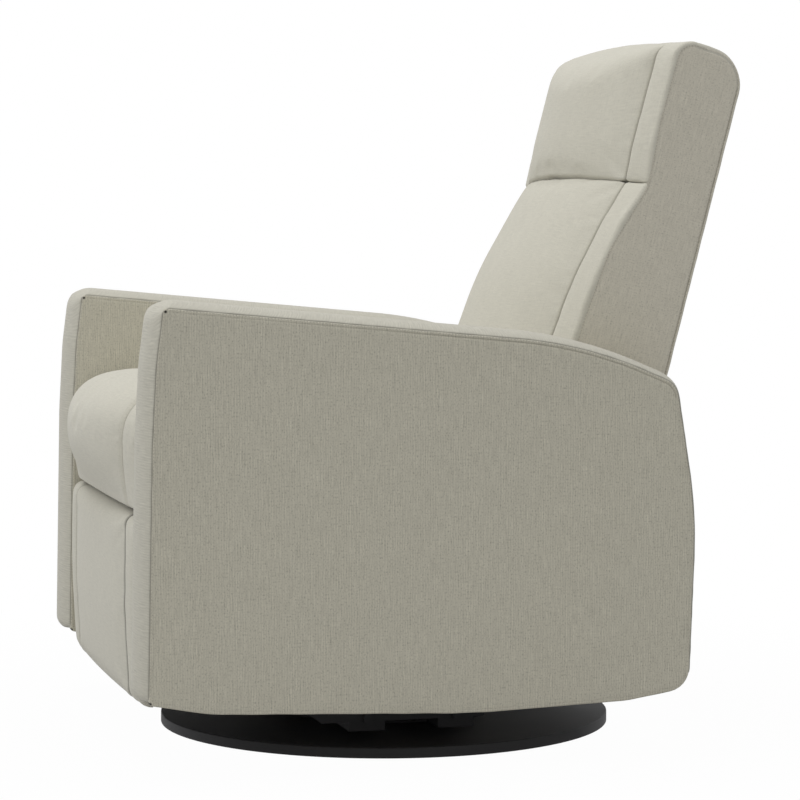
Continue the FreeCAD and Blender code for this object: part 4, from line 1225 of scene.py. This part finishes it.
def arm_stitch_lines():
    """Runs just inside the arms' seams, up the front and over the top, on all four faces."""
    corners = moved_corners(arm_corners(ARM_CORNERS, SHARP_CORNER), -ARM_STITCH_INSET)
    points = outline_points(corners, arc_steps(corners, LINE_CELL))
    points = np.vstack([points, points[:1]])
    sewn = [(y, z) for y, z in points if z > BAND_FOOT_Z and (y < 0 or z > 290)]
    outer, inner = ARM_OUT - 0.6, INNER_HALF + 0.6
    return [[(x, y, z) for y, z in sewn] for x in (outer, inner, -outer, -inner)]


def back_stitch_lines():
    """Runs along the front edges of the back's side boards."""
    lines = []
    for side, left in ((1, 1.0), (-1, 0.0)):
        corners = moved_corners(side_corners(left), -BACK_STITCH_INSET)
        points = outline_points(corners, arc_steps(corners, LINE_CELL))
        x = side * (BACK_HALF - 0.1)
        lines.append([(x, *on_back(u, v)) for u, v in points if v > 60 and u > -50])
    return lines


def make_stitches():
    sew("arm_stitches", "rocking_chair", arm_stitch_lines())
    sew("back_stitches", "reclining_back", back_stitch_lines())


# Stage

GREY = (0.55, 0.55, 0.55, 1)
WHITE = (1, 1, 1, 1)
AMBIENT = 0.58


def seen_by_camera(tree):
    """1 for rays from the camera, straight or by way of a shine, and 0 for those that light."""
    rays = tree.nodes.new("ShaderNodeLightPath")
    shown = Term(tree, rays.outputs["Is Camera Ray"])
    shown = shown.maths("MAXIMUM", shown, Term(tree, rays.outputs["Is Glossy Ray"]))
    return shown.maths("MAXIMUM", shown, Term(tree, rays.outputs["Is Transmission Ray"]))


def make_stage():
    """White floor that takes a soft shadow near the chair and fades into the background."""
    bpy.ops.mesh.primitive_plane_add(size=60.0, location=(0, 0, 0))
    floor = bpy.context.object
    floor.name = "floor"
    material, tree = new_material("pale_floor")
    inputs = {0: object_place(tree)}
    away = add_node(tree, "ShaderNodeVectorMath", {"operation": "LENGTH"}, inputs, 1)
    share = seen_by_camera(tree) * fade(tree, away, 0.5, 1.3, 0.98, 1.0)
    plain = add_node(tree, "ShaderNodeBsdfDiffuse", {}, {"Color": GREY})
    white = add_node(tree, "ShaderNodeEmission", {}, {"Color": WHITE, "Strength": 1.0})
    surface = add_node(tree, "ShaderNodeMixShader", {}, {0: share, 1: plain, 2: white})
    add_node_output(tree, surface)
    floor.data.materials.append(material)


def make_world():
    world = bpy.data.worlds.new("studio")
    bpy.context.scene.world = world
    world.use_nodes = True
    tree = world.node_tree
    tree.nodes.clear()
    fill = add_node(tree, "ShaderNodeBackground", {}, {"Color": WHITE, "Strength": AMBIENT})
    white = add_node(tree, "ShaderNodeBackground", {}, {"Color": WHITE, "Strength": 1.0})
    inputs = {0: seen_by_camera(tree), 1: fill, 2: white}
    surface = add_node(tree, "ShaderNodeMixShader", {}, inputs)
    output = tree.nodes.new("ShaderNodeOutputWorld")
    tree.links.new(surface.socket, output.inputs["Surface"])


def soft_light(name, place, aim, size, power):
    data = bpy.data.lights.new(name, "AREA")
    data.shape = "RECTANGLE"
    data.size, data.size_y = size
    data.energy = power
    lamp = bpy.data.objects.new(name, data)
    lamp.location = place
    lamp.rotation_mode = "QUATERNION"
    lamp.rotation_quaternion = (Vector(aim) - Vector(place)).to_track_quat("-Z", "Y")
    bpy.context.scene.collection.objects.link(lamp)


def make_lights():
    soft_light("overhead", (0.0, -0.6, 4.2), (0, 0, 0.4), (3.2, 3.2), 75)
    soft_light("front", (-0.4, -4.4, 2.0), (0, 0, 0.5), (3.0, 2.4), 38)


CAMERA_PLACE = (3.9092, -1.0191, 0.7126)
CAMERA_YAW = math.radians(75.056)
CAMERA_PITCH = math.radians(3.594)
CAMERA_LENS = 127.23


def make_camera():
    """Stands where the photo was taken from."""
    data = bpy.data.cameras.new("camera")
    data.sensor_width = 36.0
    data.lens = CAMERA_LENS
    camera = bpy.data.objects.new("camera", data)
    camera.location = CAMERA_PLACE
    level = math.cos(CAMERA_PITCH)
    ahead = (
        -math.sin(CAMERA_YAW) * level,
        math.cos(CAMERA_YAW) * level,
        -math.sin(CAMERA_PITCH),
    )
    camera.rotation_mode = "QUATERNION"
    camera.rotation_quaternion = Vector(ahead).to_track_quat("-Z", "Y")
    bpy.context.scene.collection.objects.link(camera)
    bpy.context.scene.camera = camera


make_camera()
make_world()
make_lights()
make_stage()
finish_cad_nodes()
seat_cushion()
footrest_pad()
make_arms()
make_back()
make_stitches()
bpy.context.scene.view_settings.view_transform = "Standard"
